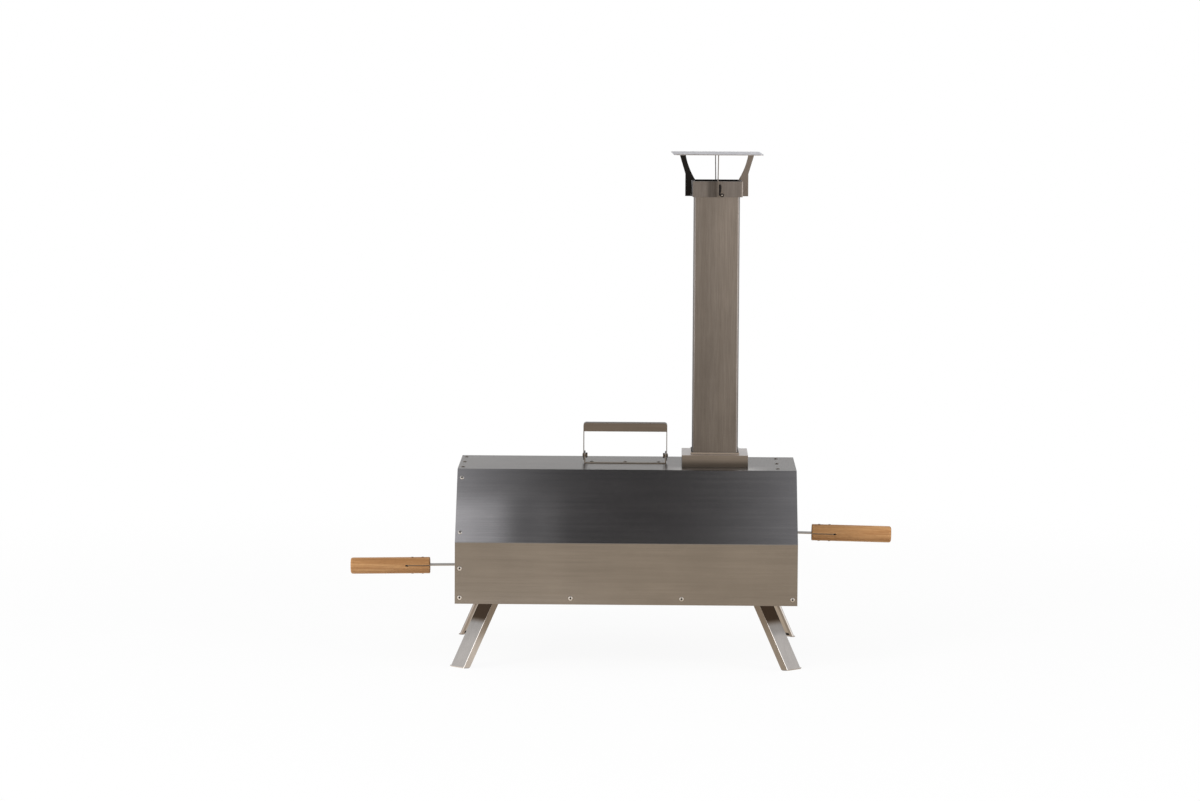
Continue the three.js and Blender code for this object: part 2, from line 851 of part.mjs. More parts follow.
function addCap(flue) {
  const cap = new THREE.Group();
  const pitch = THREE.MathUtils.degToRad(capPitchDegrees);
  const yaw = THREE.MathUtils.degToRad(capYawDegrees);
  const lean = (capCollarSide / 2) * Math.sin(pitch);
  cap.position.z = flueTop + seatGap + lean + capCollarSheet - capCollarRise;
  cap.rotation.set(-pitch, 0, yaw, 'ZXY');
  flue.add(cap);
  const half = capCollarSide / 2;
  const collar = squareRing([
    point(half, 0),
    point(half, capCollarRise),
    point(half - capCollarSheet - capCollarLip, capCollarRise),
    point(half - capCollarSheet - capCollarLip, capCollarRise - capCollarSheet),
    point(half - capCollarSheet, capCollarRise - capCollarSheet),
    point(half - capCollarSheet, 0),
  ]);
  addPiece(cap, 'cap_collar', collar, steel);
  ['right', 'far', 'left', 'near'].forEach((where, quarter) => {
    const bracket = capBracketGeometry().rotateZ((quarter * Math.PI) / 2);
    addPiece(cap, `cap_bracket_${where}`, bracket, where === 'left' ? darkSteel : steel);
  });
  const outline = roundedOutline(rectangle(capPlateSide, capPlateSide), capPlateCorner);
  const plate = extrude(outline, capPlateSheet, 'z');
  const height = capCollarRise + capClearRise + capPlateSheet / 2;
  addPiece(cap, 'cap_plate', plate, zinc, at(0, 0, height));
}

// Bail
const bailBaseTop = roofTop + bailBaseSheet;
const bailPivot = roofTop + bailPivotRise;
const bailEyeX = bailWidth / 2 - bailSheet - bailSideGap;
const bailRivetPitch = bailEyeX - bailRivetInset;

function addBailBase() {
  const flat = block(
    at(bailX - bailEyeX, -bailBaseDepth / 2, roofTop),
    at(bailX + bailEyeX, bailBaseDepth / 2, bailBaseTop),
  );
  const ears = sides.map((side) => {
    const ear = tongue(bailEyeRadius, bailPivotRise);
    return extrude(ear, bailBaseSheet, 'x')
      .translate(bailX + side * (bailEyeX - bailBaseSheet / 2), 0, bailPivot);
  });
  const eyes = bar(bailScrew / 2 + bailScrewGap, bailWidth + cutOverrun, 'x')
    .translate(bailX, 0, bailPivot);
  const base = cut(join([flat, ...ears]), [eyes, ...bailRivetHoles()]);
  addPiece(chassis, 'bail_base', base, steel);
  bailRivetSteps.forEach((step, i) => {
    const place = at(bailX + step * bailRivetPitch, 0, bailBaseTop);
    addPiece(chassis, `bail_rivet_${i + 1}`, rivetGeometry(bailBaseSheet + shellSheet), zinc, place);
  });
}

/** An upright tongue with a round top about the origin, reaching down by a drop. */
function tongue(radius, drop) {
  const shape = new THREE.Shape();
  shape.moveTo(-radius, -drop);
  shape.lineTo(radius, -drop);
  shape.lineTo(radius, 0);
  const top = Array.from({ length: curveSteps }, (_, i) => {
    const angle = (Math.PI * (i + 1)) / curveSteps;
    return point(radius * Math.cos(angle), radius * Math.sin(angle));
  });
  top.forEach(({ x, y }) => shape.lineTo(x, y));
  return shape;
}

/** The bail about its hinge line: a strap bent into a U, with a flanged grip on top. */
function bailGeometry() {
  const half = bailWidth / 2;
  const path = [
    point(-half, -bailEyeRadius),
    point(-half, bailRise),
    point(half, bailRise),
    point(half, -bailEyeRadius),
  ];
  const strap = extrude(sheetSection(path, bailSheet, bailCorner), bailDepth, 'y');
  const flanges = sides.map((side) => {
    const outline = new THREE.Shape(gripFlangeCorners(half, bailRise, bailGripFlange));
    return extrude(outline, bailSheet, 'y')
      .translate(0, side * (bailDepth - bailSheet) / 2, 0);
  });
  const legEnds = sides.map((side) => legEndTrim(side));
  const eyes = bar(bailScrew / 2 + bailScrewGap, bailWidth + cutOverrun, 'x');
  return cut(join([strap, ...flanges]), [eyes, ...legEnds]);
}

/** The corners of a grip flange: a strip with rounded upper corners. */
function gripFlangeCorners(half, top, drop) {
  const radius = bailCorner + bailSheet;
  return [
    point(-half, top - drop),
    ...arcAt(point(-half, top - drop), point(-half, top), point(half, top), radius),
    ...arcAt(point(-half, top), point(half, top), point(half, top - drop), radius),
    point(half, top - drop),
  ];
}

/** What is trimmed off a leg of the bail, so that it ends round about its hinge. */
function legEndTrim(side) {
  const outer = extrude(new THREE.Shape(rectangle(2 * bailDepth, bailRise)), 2 * cutOverrun, 'x')
    .translate(side * (bailWidth / 2), 0, -bailRise / 2);
  const kept = tongue(bailDepth / 2, 0);
  const round = extrude(kept, 4 * cutOverrun, 'x')
    .rotateX(Math.PI).translate(side * (bailWidth / 2), 0, 0);
  return cut(outer, [round]);
}

function addBail() {
  const hinge = at(bailX, 0, bailPivot);
  addPiece(chassis, 'bail_handle', bailGeometry(), darkSteel, hinge);
  const innerEnd = bailEyeX - bailBaseSheet - bailSideGap - bailNutRise;
  const headX = bailWidth / 2 + bailSideGap;
  const profile = [
    point(0, innerEnd),
    point(bailScrew / 2, innerEnd),
    point(bailScrew / 2, headX),
    point(bailScrewHead / 2, headX),
    point(bailScrew / 2, headX + bailScrewHeadRise),
    point(0, headX + bailScrewHeadRise),
  ];
  [['rear', -1], ['front', 1]].forEach(([name, end]) => {
    const turn = end < 0 ? Math.PI : 0;
    const screw = revolve(profile, holeSides).applyMatrix4(axisBasis.x).rotateZ(turn);
    addPiece(chassis, `bail_screw_${name}`, screw, zinc, hinge);
    const nut = hexNut(bailNutFlats, bailScrew, bailScrewGap, bailNutRise, 'x');
    const nutX = bailX + end * (innerEnd + bailNutRise / 2);
    addPiece(chassis, `bail_nut_${name}`, nut, zinc, at(nutX, 0, bailPivot));
  });
}

/** A hexagon nut about the origin, along an axis. */
function hexNut(flats, thread, gap, rise, axis) {
  const body = bar(flats / 2 / Math.cos(Math.PI / nutSides), rise, axis, nutSides);
  return cut(body, [bar(thread / 2 + gap, rise + cutOverrun, axis)]);
}

// Legs
const splay = THREE.MathUtils.degToRad(legSplayDegrees);
const legPivotZ = groundClearance + legPivotRise;
const legAxisX = halfLength - legInset + legWidth / 2 / Math.cos(splay);
const legPivotX = legAxisX - legPivotRise * Math.tan(splay);
const flangeInnerY = innerHalfWidth - sheetGap - floorSheet;
const bracketFaceY = flangeInnerY - sheetGap - bracketOffset;
const legFaceY = bracketFaceY - bracketSheet - legSideGap;
const legLength = legPivotZ / Math.cos(splay) + legWidth;

/** The leg's section, a flange along the skirt, a slanted web and a hook, with its ends trimmed. */
function legSectionPath(end, depthSign, trim) {
  const inner = -legWidth / 2;
  return [
    point(end * (inner + trim), 0),
    point(end * (inner + legFlange), 0),
    point(end * (legWidth / 2), depthSign * legDepth),
    point(end * (legWidth / 2 - legHook + trim), depthSign * legDepth),
  ];
}

/** The leg's flange, which widens into a round ear about the pivot. */
function legEarOutline(end) {
  const inner = -legWidth / 2;
  const top = Array.from({ length: curveSteps * 2 + 1 }, (_, i) => {
    const angle = Math.PI - (Math.PI * i) / (curveSteps * 2);
    return point((legWidth / 2) * Math.cos(angle), (legWidth / 2) * Math.sin(angle));
  });
  const outline = [
    point(inner, -legLength),
    ...top,
    point(legWidth / 2, -legWebDrop),
    point(inner + legFlange, -legWebDrop),
    point(inner + legFlange, -legLength),
  ];
  return new THREE.Shape(outline.map(({ x, y }) => point(end * x, y)));
}

/** What rounds off a foot at the ground, where the leg's edge at an offset from its middle ends. */
function footCornerTrim(end, offset, radius) {
  const ground = -legPivotZ;
  const outwards = end * Math.sign(offset);
  const corner = point(end * (offset / Math.cos(splay) + legPivotZ * Math.tan(splay)), ground);
  const above = corner.clone().add(point(-end * Math.tan(splay), 1));
  const beside = corner.clone().add(point(-outwards, 0));
  const arc = arcAt(above, corner, beside, radius);
  const outside = corner.x + outwards * cutOverrun;
  const outline = [
    ...arc,
    point(arc.at(-1).x, ground - cutOverrun),
    point(outside, ground - cutOverrun),
    point(outside, arc[0].y),
  ];
  return extrude(new THREE.Shape(outline), 4 * legDepth, 'y');
}

/** One leg about its pivot, splayed, flat on the ground, for one end and one long side. */
function legGeometry(end, side) {
  const depthSign = -side;
  const path = legSectionPath(end, depthSign, 0);
  const turn = end * depthSign < 0 ? legSheet : -legSheet;
  const shaft = extrude(sheetSection(path, turn, legBend), legLength - legWebDrop, 'z')
    .translate(0, 0, -(legLength + legWebDrop) / 2);
  const ear = extrude(legEarOutline(end), legSheet, 'y')
    .translate(0, (depthSign * legSheet) / 2, 0);
  const footPath = offsetPath(legSectionPath(end, depthSign, legSheet / 2), turn / 2);
  const foot = extrude(new THREE.Shape(footPath), legLength, 'z').translate(0, 0, -legLength / 2);
  const leg = join([shaft, ear]);
  [leg, foot].forEach((geometry) => geometry.rotateY(-end * splay));
  const reach = 2 * legLength;
  const slab = block(at(-reach, -reach, -legPivotZ), at(reach, reach, -legPivotZ + legFootSheet));
  const ground = block(at(-reach, -reach, -2 * reach), at(reach, reach, -legPivotZ));
  const eye = bar(legBolt / 2 + legBoltGap, 2 * cutOverrun, 'y');
  const heel = footCornerTrim(end, -legWidth / 2, legHeelCorner);
  const toe = footCornerTrim(end, legWidth / 2, legToeCorner);
  return cut(join([leg, common(foot, slab)]), [ground, eye, heel, toe]);
}

/** A bracket about the pivot: a strip pressed out round the bolt's head, with a stop tab. */
function bracketGeometry(end, side) {
  const lower = groundClearance + bracketLowerInset - legPivotZ;
  const upper = floorTop - floorSheet - bracketUpperGap - legPivotZ;
  const seat = -side * bracketOffset;
  const path = [
    point(-bracketHalfSeat - bracketRamp - bracketWing, 0),
    point(-bracketHalfSeat - bracketRamp, 0),
    point(-bracketHalfSeat, seat),
    point(bracketHalfSeat, seat),
    point(bracketHalfSeat + bracketRamp, 0),
    point(bracketHalfSeat + bracketRamp + bracketWing, 0),
  ];
  const strip = extrude(sheetSection(path, side * bracketSheet, bracketSheet / 2), upper - lower, 'z')
    .translate(0, side * (bracketSheet + bracketOffset), (upper + lower) / 2);
  const tab = new THREE.BoxGeometry(bracketSheet, bracketStopReach + bracketSheet, bracketStopRise)
    .translate(
      end * (legWidth / 2 + seatGap + bracketSheet / 2),
      (-side * bracketStopReach) / 2 + (side * bracketSheet) / 2,
      -bracketStopRise / 2,
    )
    .rotateY(-end * splay);
  const eye = bar(legBolt / 2 + legBoltGap, 2 * cutOverrun, 'y');
  return cut(join([strip, tab]), [eye]);
}

/** A pivot bolt along the way from the skirt to the middle, with its head next to the skirt. */
function legBoltGeometry(side) {
  const head = bracketSheet + legBoltHeadRise;
  const tail = -legSideGap - legSheet - legSideGap - legNutRise;
  const profile = [
    point(0, tail),
    point(legBolt / 2, tail),
    point(legBolt / 2, bracketSheet),
    point(legBoltHead / 2, bracketSheet),
    point(legBolt / 2, head),
    point(0, head),
  ];
  return revolve(profile, holeSides).rotateX(side * -Math.PI / 2);
}

function addLegs() {
  const ends = [['front', 1], ['rear', -1]];
  const flanks = [['near', -1], ['far', 1]];
  ends.forEach(([endName, end]) => flanks.forEach(([flankName, side]) => {
    const name = `${endName}_${flankName}`;
    const x = end * legPivotX;
    const bracketY = side * (bracketFaceY - bracketSheet);
    const nutY = side * (legFaceY - legSheet - legSideGap - legNutRise / 2);
    const nut = hexNut(legNutFlats, legBolt, legBoltGap, legNutRise, 'y');
    const bracketPlace = at(x, bracketY, legPivotZ);
    addPiece(chassis, `leg_bracket_${name}`, bracketGeometry(end, side), steel, bracketPlace);
    addPiece(chassis, `leg_${name}`, legGeometry(end, side), steel, at(x, side * legFaceY, legPivotZ));
    addPiece(chassis, `leg_bolt_${name}`, legBoltGeometry(side), zinc, bracketPlace);
    addPiece(chassis, `leg_nut_${name}`, nut, zinc, at(x, nutY, legPivotZ));
  }));
}

addShell();
addFloor();
addRearPanel();
addFrontPanel();
addDoor();
addTray();
addRunners();
addStone();
addStoneRails();
addBaffle();
addSocket();
addFlue();
addBailBase();
addBail();
addLegs();

// The origin lies under the middle of the whole oven, grips included
const bounds = new THREE.Box3().setFromObject(oven);
chassis.position.x = -(bounds.min.x + bounds.max.x) / 2;

export default oven;
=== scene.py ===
"""Looks of a tabletop pizza oven: its finishes, small fasteners, wooden grips, studio and camera."""

import logging
import math
from dataclasses import dataclass, field
from enum import Enum
from typing import Iterable, Optional, Union

import bmesh
import bpy
from mathutils import Matrix, Vector


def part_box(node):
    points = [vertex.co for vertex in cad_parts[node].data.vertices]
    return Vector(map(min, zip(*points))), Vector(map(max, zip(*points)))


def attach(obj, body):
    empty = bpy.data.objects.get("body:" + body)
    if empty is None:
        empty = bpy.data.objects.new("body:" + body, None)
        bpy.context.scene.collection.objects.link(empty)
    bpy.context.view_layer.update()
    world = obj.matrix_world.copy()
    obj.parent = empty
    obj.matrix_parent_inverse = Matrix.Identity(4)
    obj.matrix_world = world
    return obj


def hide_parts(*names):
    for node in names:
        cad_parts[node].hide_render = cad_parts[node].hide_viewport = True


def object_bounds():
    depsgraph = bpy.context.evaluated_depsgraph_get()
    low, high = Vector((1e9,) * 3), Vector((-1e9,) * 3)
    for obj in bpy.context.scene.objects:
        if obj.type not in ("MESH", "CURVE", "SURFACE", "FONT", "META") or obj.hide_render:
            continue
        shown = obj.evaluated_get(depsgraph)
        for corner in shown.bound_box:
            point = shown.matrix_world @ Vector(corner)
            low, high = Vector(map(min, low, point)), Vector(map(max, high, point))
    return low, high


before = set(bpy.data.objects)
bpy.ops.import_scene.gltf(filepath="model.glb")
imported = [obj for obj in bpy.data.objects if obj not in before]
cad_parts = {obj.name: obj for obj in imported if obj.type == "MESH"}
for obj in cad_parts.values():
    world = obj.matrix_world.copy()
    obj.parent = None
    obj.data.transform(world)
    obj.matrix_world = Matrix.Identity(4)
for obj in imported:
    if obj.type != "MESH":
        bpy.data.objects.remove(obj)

LOG = logging.getLogger("oven")

Colour = tuple[float, float, float]
Socket = bpy.types.NodeSocket
Value = Union[Socket, float, tuple, Vector]

MM = 0.001
CAD_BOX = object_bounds()
CORNERS = ("front_near", "front_far", "rear_near", "rear_far")
WHITE = (1.0, 1.0, 1.0)
UP = Vector((0.0, 0.0, 1.0))
ON_AXIS = 1e-7
SAME_PLACE = 1e-6


class Grain(Enum):
    """Which way a sheet was brushed."""

    ALONG = "X"
    UPRIGHT = "Z"


def linear(red: int, green: int, blue: int) -> Colour:
    """Turns a colour on the 0 to 255 screen scale into a linear one.

    Args:
        red: Red on the screen scale.
        green: Green on the screen scale.
        blue: Blue on the screen scale.

    Returns:
        The linear colour.
    """
    parts = []
    for part in (red, green, blue):
        share = part / 255.0
        parts.append(share / 12.92 if share <= 0.04045 else ((share + 0.055) / 1.055) ** 2.4)
    return tuple(parts)


# Finishes


class Tree:
    """A node tree, laid down node by node."""

    def __init__(self, tree: bpy.types.NodeTree) -> None:
        """Takes a tree and empties it."""
        self.tree = tree
        self.tree.nodes.clear()

    def add(self, kind: str, inputs: Optional[dict] = None, **settings: object) -> bpy.types.Node:
        """Adds a node.

        Args:
            kind: The node's type name without its first word, ShaderNode.
            inputs: Socket names or numbers, each with a value or another node's output.
            settings: The node's own settings.

        Returns:
            The node.
        """
        node = self.tree.nodes.new(f"ShaderNode{kind}")
        for key, setting in settings.items():
            setattr(node, key, setting)
        for key, value in (inputs or {}).items():
            self.feed(node.inputs[key], value)
        return node

    def feed(self, socket: Socket, value: Value) -> None:
        """Links an output to a socket, or sets the socket's own value.

        Args:
            socket: The socket that is fed.
            value: Another node's output, or the value.
        """
        if isinstance(value, bpy.types.NodeSocket):
            self.tree.links.new(value, socket)
        elif socket.type == "RGBA" and len(value) == 3:
            socket.default_value = (*value, 1.0)
        else:
            socket.default_value = value

    def math(self, operation: str, first: Value, second: Value = 0.0) -> Socket:
        """Returns a number worked out from two others."""
        return self.add("Math", {0: first, 1: second}, operation=operation).outputs[0]

    def times(self, first: Value, second: Value) -> Socket:
        """Returns the product of two numbers."""
        return self.math("MULTIPLY", first, second)

    def backdrop_rays(self) -> Socket:
        """Picks the rays that show the backdrop.

        Returns:
            1 for the camera's rays and those off metal or through glass, else 0.
        """
        path = self.add("LightPath").outputs
        rays = self.math("MAXIMUM", path["Is Camera Ray"], path["Is Glossy Ray"])
        return self.math("MAXIMUM", rays, path["Is Transmission Ray"])


class Sheet(Tree):
    """One material's node tree, with patterns that lie on the part."""

    def __init__(self, name: str) -> None:
        """Starts an empty material.

        Args:
            name: The material's name.
        """
        self.material = bpy.data.materials.new(name)
        self.material.use_nodes = True
        super().__init__(self.material.node_tree)
        self.coordinates = self.add("TexCoord").outputs
        self.place = self.coordinates["Object"]

    def stretch(self, scale: tuple, offset: tuple = (0.0, 0.0, 0.0)) -> Socket:
        """Returns the place on the part, scaled by axis, in pattern units."""
        inputs = {"Vector": self.place, "Scale": scale, "Location": offset}
        return self.add("Mapping", inputs).outputs["Vector"]

    def noise(self, place: Socket, detail: float = 3.0, roughness: float = 0.55) -> Socket:
        """Returns soft noise from 0 to 1 at that place."""
        inputs = {"Vector": place, "Scale": 1.0, "Detail": detail, "Roughness": roughness}
        return self.add("TexNoise", inputs).outputs["Fac"]

    def along(self, axis: str) -> Socket:
        """Returns the place on the part along one axis, in metres."""
        return self.add("SeparateXYZ", {0: self.place}).outputs[axis]

    def facing(self, axis: str) -> Socket:
        """Returns how squarely a face looks along one axis of its body, from 0 to 1."""
        return self.math("ABSOLUTE", self.add("SeparateXYZ", {0: self.coordinates["Normal"]}).outputs[axis])

    def facing_axis(self, axis_x: float) -> Socket:
        """Finds the faces that look towards an upright axis in the plane Y = 0.

        Args:
            axis_x: Where the axis stands.

        Returns:
            A number below 0 on those faces.
        """
        inputs = {0: self.place, 1: (axis_x, 0.0, 0.0)}
        away = self.add("VectorMath", inputs, operation="SUBTRACT").outputs[0]
        level = self.add("VectorMath", {0: away, 1: (1.0, 1.0, 0.0)}, operation="MULTIPLY").outputs[0]
        normal = self.add("NewGeometry").outputs["True Normal"]
        return self.add("VectorMath", {0: level, 1: normal}, operation="DOT_PRODUCT").outputs["Value"]

    def remap(self, value: Value, low: float, high: float, start: float = 0.0, end: float = 1.0) -> Socket:
        """Moves a value from one range to another, smoothly and clamped.

        Args:
            value: What is moved.
            low: Where the source range starts.
            high: Where the source range ends.
            start: Result at the low end.
            end: Result at the high end.

        Returns:
            The moved value.
        """
        inputs = {"Value": value, "From Min": low, "From Max": high, "To Min": start, "To Max": end}
        return self.add("MapRange", inputs, interpolation_type="SMOOTHSTEP").outputs[0]

    def sway(self, pattern: Socket, contrast: float) -> Socket:
        """Returns a tone that a noise pattern moves to either side of 1."""
        return self.remap(pattern, 0.3, 0.7, 1.0 - contrast, 1.0 + contrast)

    def grey(self, tone: Value) -> Socket:
        """Returns a grey colour of that tone."""
        return self.add("CombineXYZ", {0: tone, 1: tone, 2: tone}).outputs[0]

    def ramp(self, value: Socket, stops: tuple) -> Socket:
        """Follows a line of stops.

        Args:
            value: What is looked up.
            stops: Value and tone pairs, in rising order.

        Returns:
            The grey at that value.
        """
        first, last = stops[0][0], stops[-1][0]
        share = self.add("MapRange", {"Value": value, "From Min": first, "From Max": last}).outputs[0]
        node = self.add("ValToRGB", {0: share})
        elements = node.color_ramp.elements
        while len(elements) < len(stops):
            elements.new(0.5)
        for element, (at, tone) in zip(elements, stops):
            element.position = (at - first) / (last - first)
            element.color = (tone, tone, tone, 1.0)
        return node.outputs[0]

    def blend(self, share: Value, first: Value, second: Value, how: str = "MIX") -> Socket:
        """Mixes two colours.

        Args:
            share: How much of the second colour shows.
            first: The colour below.
            second: The colour laid over it.
            how: Blender's name for the way of mixing.

        Returns:
            The mixed colour.
        """
        node = self.add("Mix", {0: share}, data_type="RGBA", blend_type=how)
        self.feed(node.inputs[6], first)
        self.feed(node.inputs[7], second)
        return node.outputs[2]

    def toned(self, colour: Value, tone: Value) -> Socket:
        """Returns the colour made lighter or darker by that tone."""
        return self.blend(1.0, colour, self.grey(tone), "MULTIPLY")

    def bump(self, height: Socket, depth: float, strength: float = 1.0) -> Socket:
        """Returns a normal bent by a pattern of that depth in metres."""
        inputs = {"Height": height, "Distance": depth, "Strength": strength}
        return self.add("Bump", inputs).outputs["Normal"]

    def close(self, shader: Socket) -> bpy.types.Material:
        """Ends the tree with that shader and returns the finished material."""
        self.add("OutputMaterial", {"Surface": shader})
        return self.material

    def finish(self, **sockets: Value) -> bpy.types.Material:
        """Ends the tree with the usual shader, its sockets named with underscores for spaces."""
        inputs = {key.replace("_", " "): value for key, value in sockets.items()}
        return self.close(self.add("BsdfPrincipled", inputs).outputs[0])


@dataclass(frozen=True)
class Patch:
    """A stretch of painted light or painted shade on a sheet, with soft edges.

    Each span is an axis, the place where the patch starts and the place where it is full, in metres.
    With an axis to face, the patch lies only on the faces that turn so far towards it.
    """

    gain: float
    spans: tuple[tuple[str, float, float], ...] = ()
    facing: str = ""
    turned_from: float = 0.3
    turned_to: Optional[float] = None
    turned_ease: float = 0.2
    turned_end: float = 0.04

    def tone(self, sheet: Sheet) -> Socket:
        """Lays the patch.

        Args:
            sheet: The material that it lies in.

        Returns:
            The patch's tone, which is 1 outside it.
        """
        share = 1.0
        if self.facing:
            turned = sheet.facing(self.facing)
            share = sheet.remap(turned, self.turned_from, self.turned_from + self.turned_ease)
            if self.turned_to is not None:
                limit = sheet.remap(turned, self.turned_to, self.turned_to - self.turned_end)
                share = sheet.times(share, limit)
        for axis, outside, inside in self.spans:
            share = sheet.times(share, sheet.remap(sheet.along(axis), outside, inside))
        return sheet.math("ADD", sheet.times(share, self.gain), 1.0)


@dataclass(frozen=True)
class Finish:
    """A surface finish, whose material is made on first use."""

    name: str
    colour: Colour

    def material(self) -> bpy.types.Material:
        """Returns the finish's material."""
        return bpy.data.materials.get(self.name) or self.lay(Sheet(self.name))

    def lay(self, sheet: Sheet) -> bpy.types.Material:
        """Lays the finish's tree and returns its material, each kind of finish in its own way."""
        raise NotImplementedError


@dataclass(frozen=True)
class BrushedSteel(Finish):
    """Stainless sheet with fine brush lines, long streaks, soft clouds, patches of painted light and shade,
    and soot in a bore.

    Patterns are given in marks for each metre, along the grain and across it.
    """

    grain: Grain
    roughness: float = 0.30
    roughness_swing: float = 0.06
    anisotropy: float = 0.65
    line_contrast: float = 0.04
    line_run: float = 9.0
    lines_across: float = 900.0
    line_depth: float = 0.006 * MM
    streak_contrast: float = 0.03
    streak_run: float = 4.0
    streaks_across: float = 150.0
    streak_offset: tuple = (3.1, 5.7, 1.3)
    cloud_contrast: float = 0.05
    cloud_scale: tuple = (11.0, 16.0, 16.0)
    grazing: float = 0.66
    shade_warmth: float = 0.0
    patches: tuple[Patch, ...] = ()
    bore_x: Optional[float] = None
    bore_edge: float = 4.0 * MM
    soot_tone: float = 0.1

    def lay(self, sheet: Sheet) -> bpy.types.Material:
        """Lays the brushed sheet.

        Args:
            sheet: The empty material.

        Returns:
            The finished material.
        """
        lines = sheet.noise(sheet.stretch(self._brushed(self.line_run, self.lines_across)), 2.0)
        streak_scale = self._brushed(self.streak_run, self.streaks_across)
        streaks = sheet.noise(sheet.stretch(streak_scale, self.streak_offset))
        clouds = sheet.noise(sheet.stretch(self.cloud_scale), 4.0, 0.6)
        tone = sheet.times(sheet.sway(lines, self.line_contrast), sheet.sway(streaks, self.streak_contrast))
        tone = sheet.times(tone, sheet.sway(clouds, self.cloud_contrast))
        # Painted light and shade: the product of the patches' tones, which also scales the grazing tint.
        painted_light = 1.0
        for patch in self.patches:
            painted_light = sheet.times(painted_light, patch.tone(sheet))
        tone = sheet.times(tone, painted_light)
        grazing = sheet.math("MINIMUM", sheet.times(painted_light, self.grazing), 1.0)
        if self.bore_x is not None:
            inwards = sheet.facing_axis(self.bore_x)
            tone = sheet.times(tone, sheet.remap(inwards, -self.bore_edge, self.bore_edge, self.soot_tone))
        colour = sheet.toned(self.colour, tone)
        if self.shade_warmth:
            shade = sheet.math("MINIMUM", painted_light, 1.0)
            red = sheet.math("POWER", shade, -self.shade_warmth)
            blue = sheet.math("POWER", shade, self.shade_warmth)
            tint = sheet.add("CombineXYZ", {0: red, 1: 1.0, 2: blue}).outputs[0]
            colour = sheet.blend(1.0, colour, tint, "MULTIPLY")
        swing = self.roughness * self.roughness_swing
        return sheet.finish(
            Base_Color=colour,
            Metallic=1.0,
            Roughness=sheet.remap(streaks, 0.25, 0.75, self.roughness - swing, self.roughness + swing),
            Specular_Tint=sheet.grey(grazing),
            Anisotropic=self.anisotropy,
            Tangent=sheet.add("Tangent", direction_type="RADIAL", axis=self.grain.value).outputs[0],
            Normal=sheet.bump(lines, self.line_depth),
        )

    def _brushed(self, along: float, across: float) -> tuple[float, ...]:
        """Returns a pattern's scale by axis, from its marks along and across the grain."""
        return tuple(along if axis == self.grain.value else across for axis in "XYZ")


@dataclass(frozen=True)
class PlatedMetal(Finish):
    """Zinc plate or drawn rivet metal, with a soft spangle, handling marks and, where asked, painted shade
    on faces that turn from upright.
    """

    roughness: float = 0.34
    spangle: float = 0.12
    spangle_scale: tuple = (260.0, 260.0, 260.0)
    marking: float = 0.06
    mark_scale: tuple = (90.0, 90.0, 90.0)
    dent: float = 0.01 * MM
    side_shade: float = 1.0

    def lay(self, sheet: Sheet) -> bpy.types.Material:
        """Lays the plated metal.

        Args:
            sheet: The empty material.

        Returns:
            The finished material.
        """
        cells = sheet.add("TexVoronoi", {"Vector": sheet.stretch(self.spangle_scale), "Scale": 1.0})
        marks = sheet.noise(sheet.stretch(self.mark_scale), 4.0, 0.65)
        tone = sheet.remap(cells.outputs["Distance"], 0.1, 0.8, 1.0 + self.spangle, 1.0 - self.spangle)
        tone = sheet.times(tone, sheet.sway(marks, self.marking))
        # Painted shade: faces that turn away from upright are darker by this tone.
        if self.side_shade != 1.0:
            tone = sheet.times(tone, sheet.remap(sheet.facing("Z"), 0.4, 0.8, self.side_shade))
        return sheet.finish(
            Base_Color=sheet.toned(self.colour, tone),
            Metallic=1.0,
            Roughness=sheet.remap(marks, 0.25, 0.75, self.roughness * 0.85, self.roughness * 1.2),
            Normal=sheet.bump(marks, self.dent),
        )


@dataclass(frozen=True)
class DarkScaleAndShade(Finish):
    """Dull dark weld scale, and the painted shade of rivet holes and beside the cap's tabs, with a fine
    crust.
    """

    crust_scale: tuple = (1400.0, 1400.0, 1400.0)
    crust_contrast: float = 0.25
    crust_depth: float = 0.04 * MM

    def lay(self, sheet: Sheet) -> bpy.types.Material:
        """Lays the dark finish.

        Args:
            sheet: The empty material.

        Returns:
            The finished material.
        """
        crust = sheet.noise(sheet.stretch(self.crust_scale))
        return sheet.finish(
            Base_Color=sheet.toned(self.colour, sheet.sway(crust, self.crust_contrast)),
            Roughness=0.7,
            Specular_IOR_Level=0.1,
            Normal=sheet.bump(crust, self.crust_depth),
        )


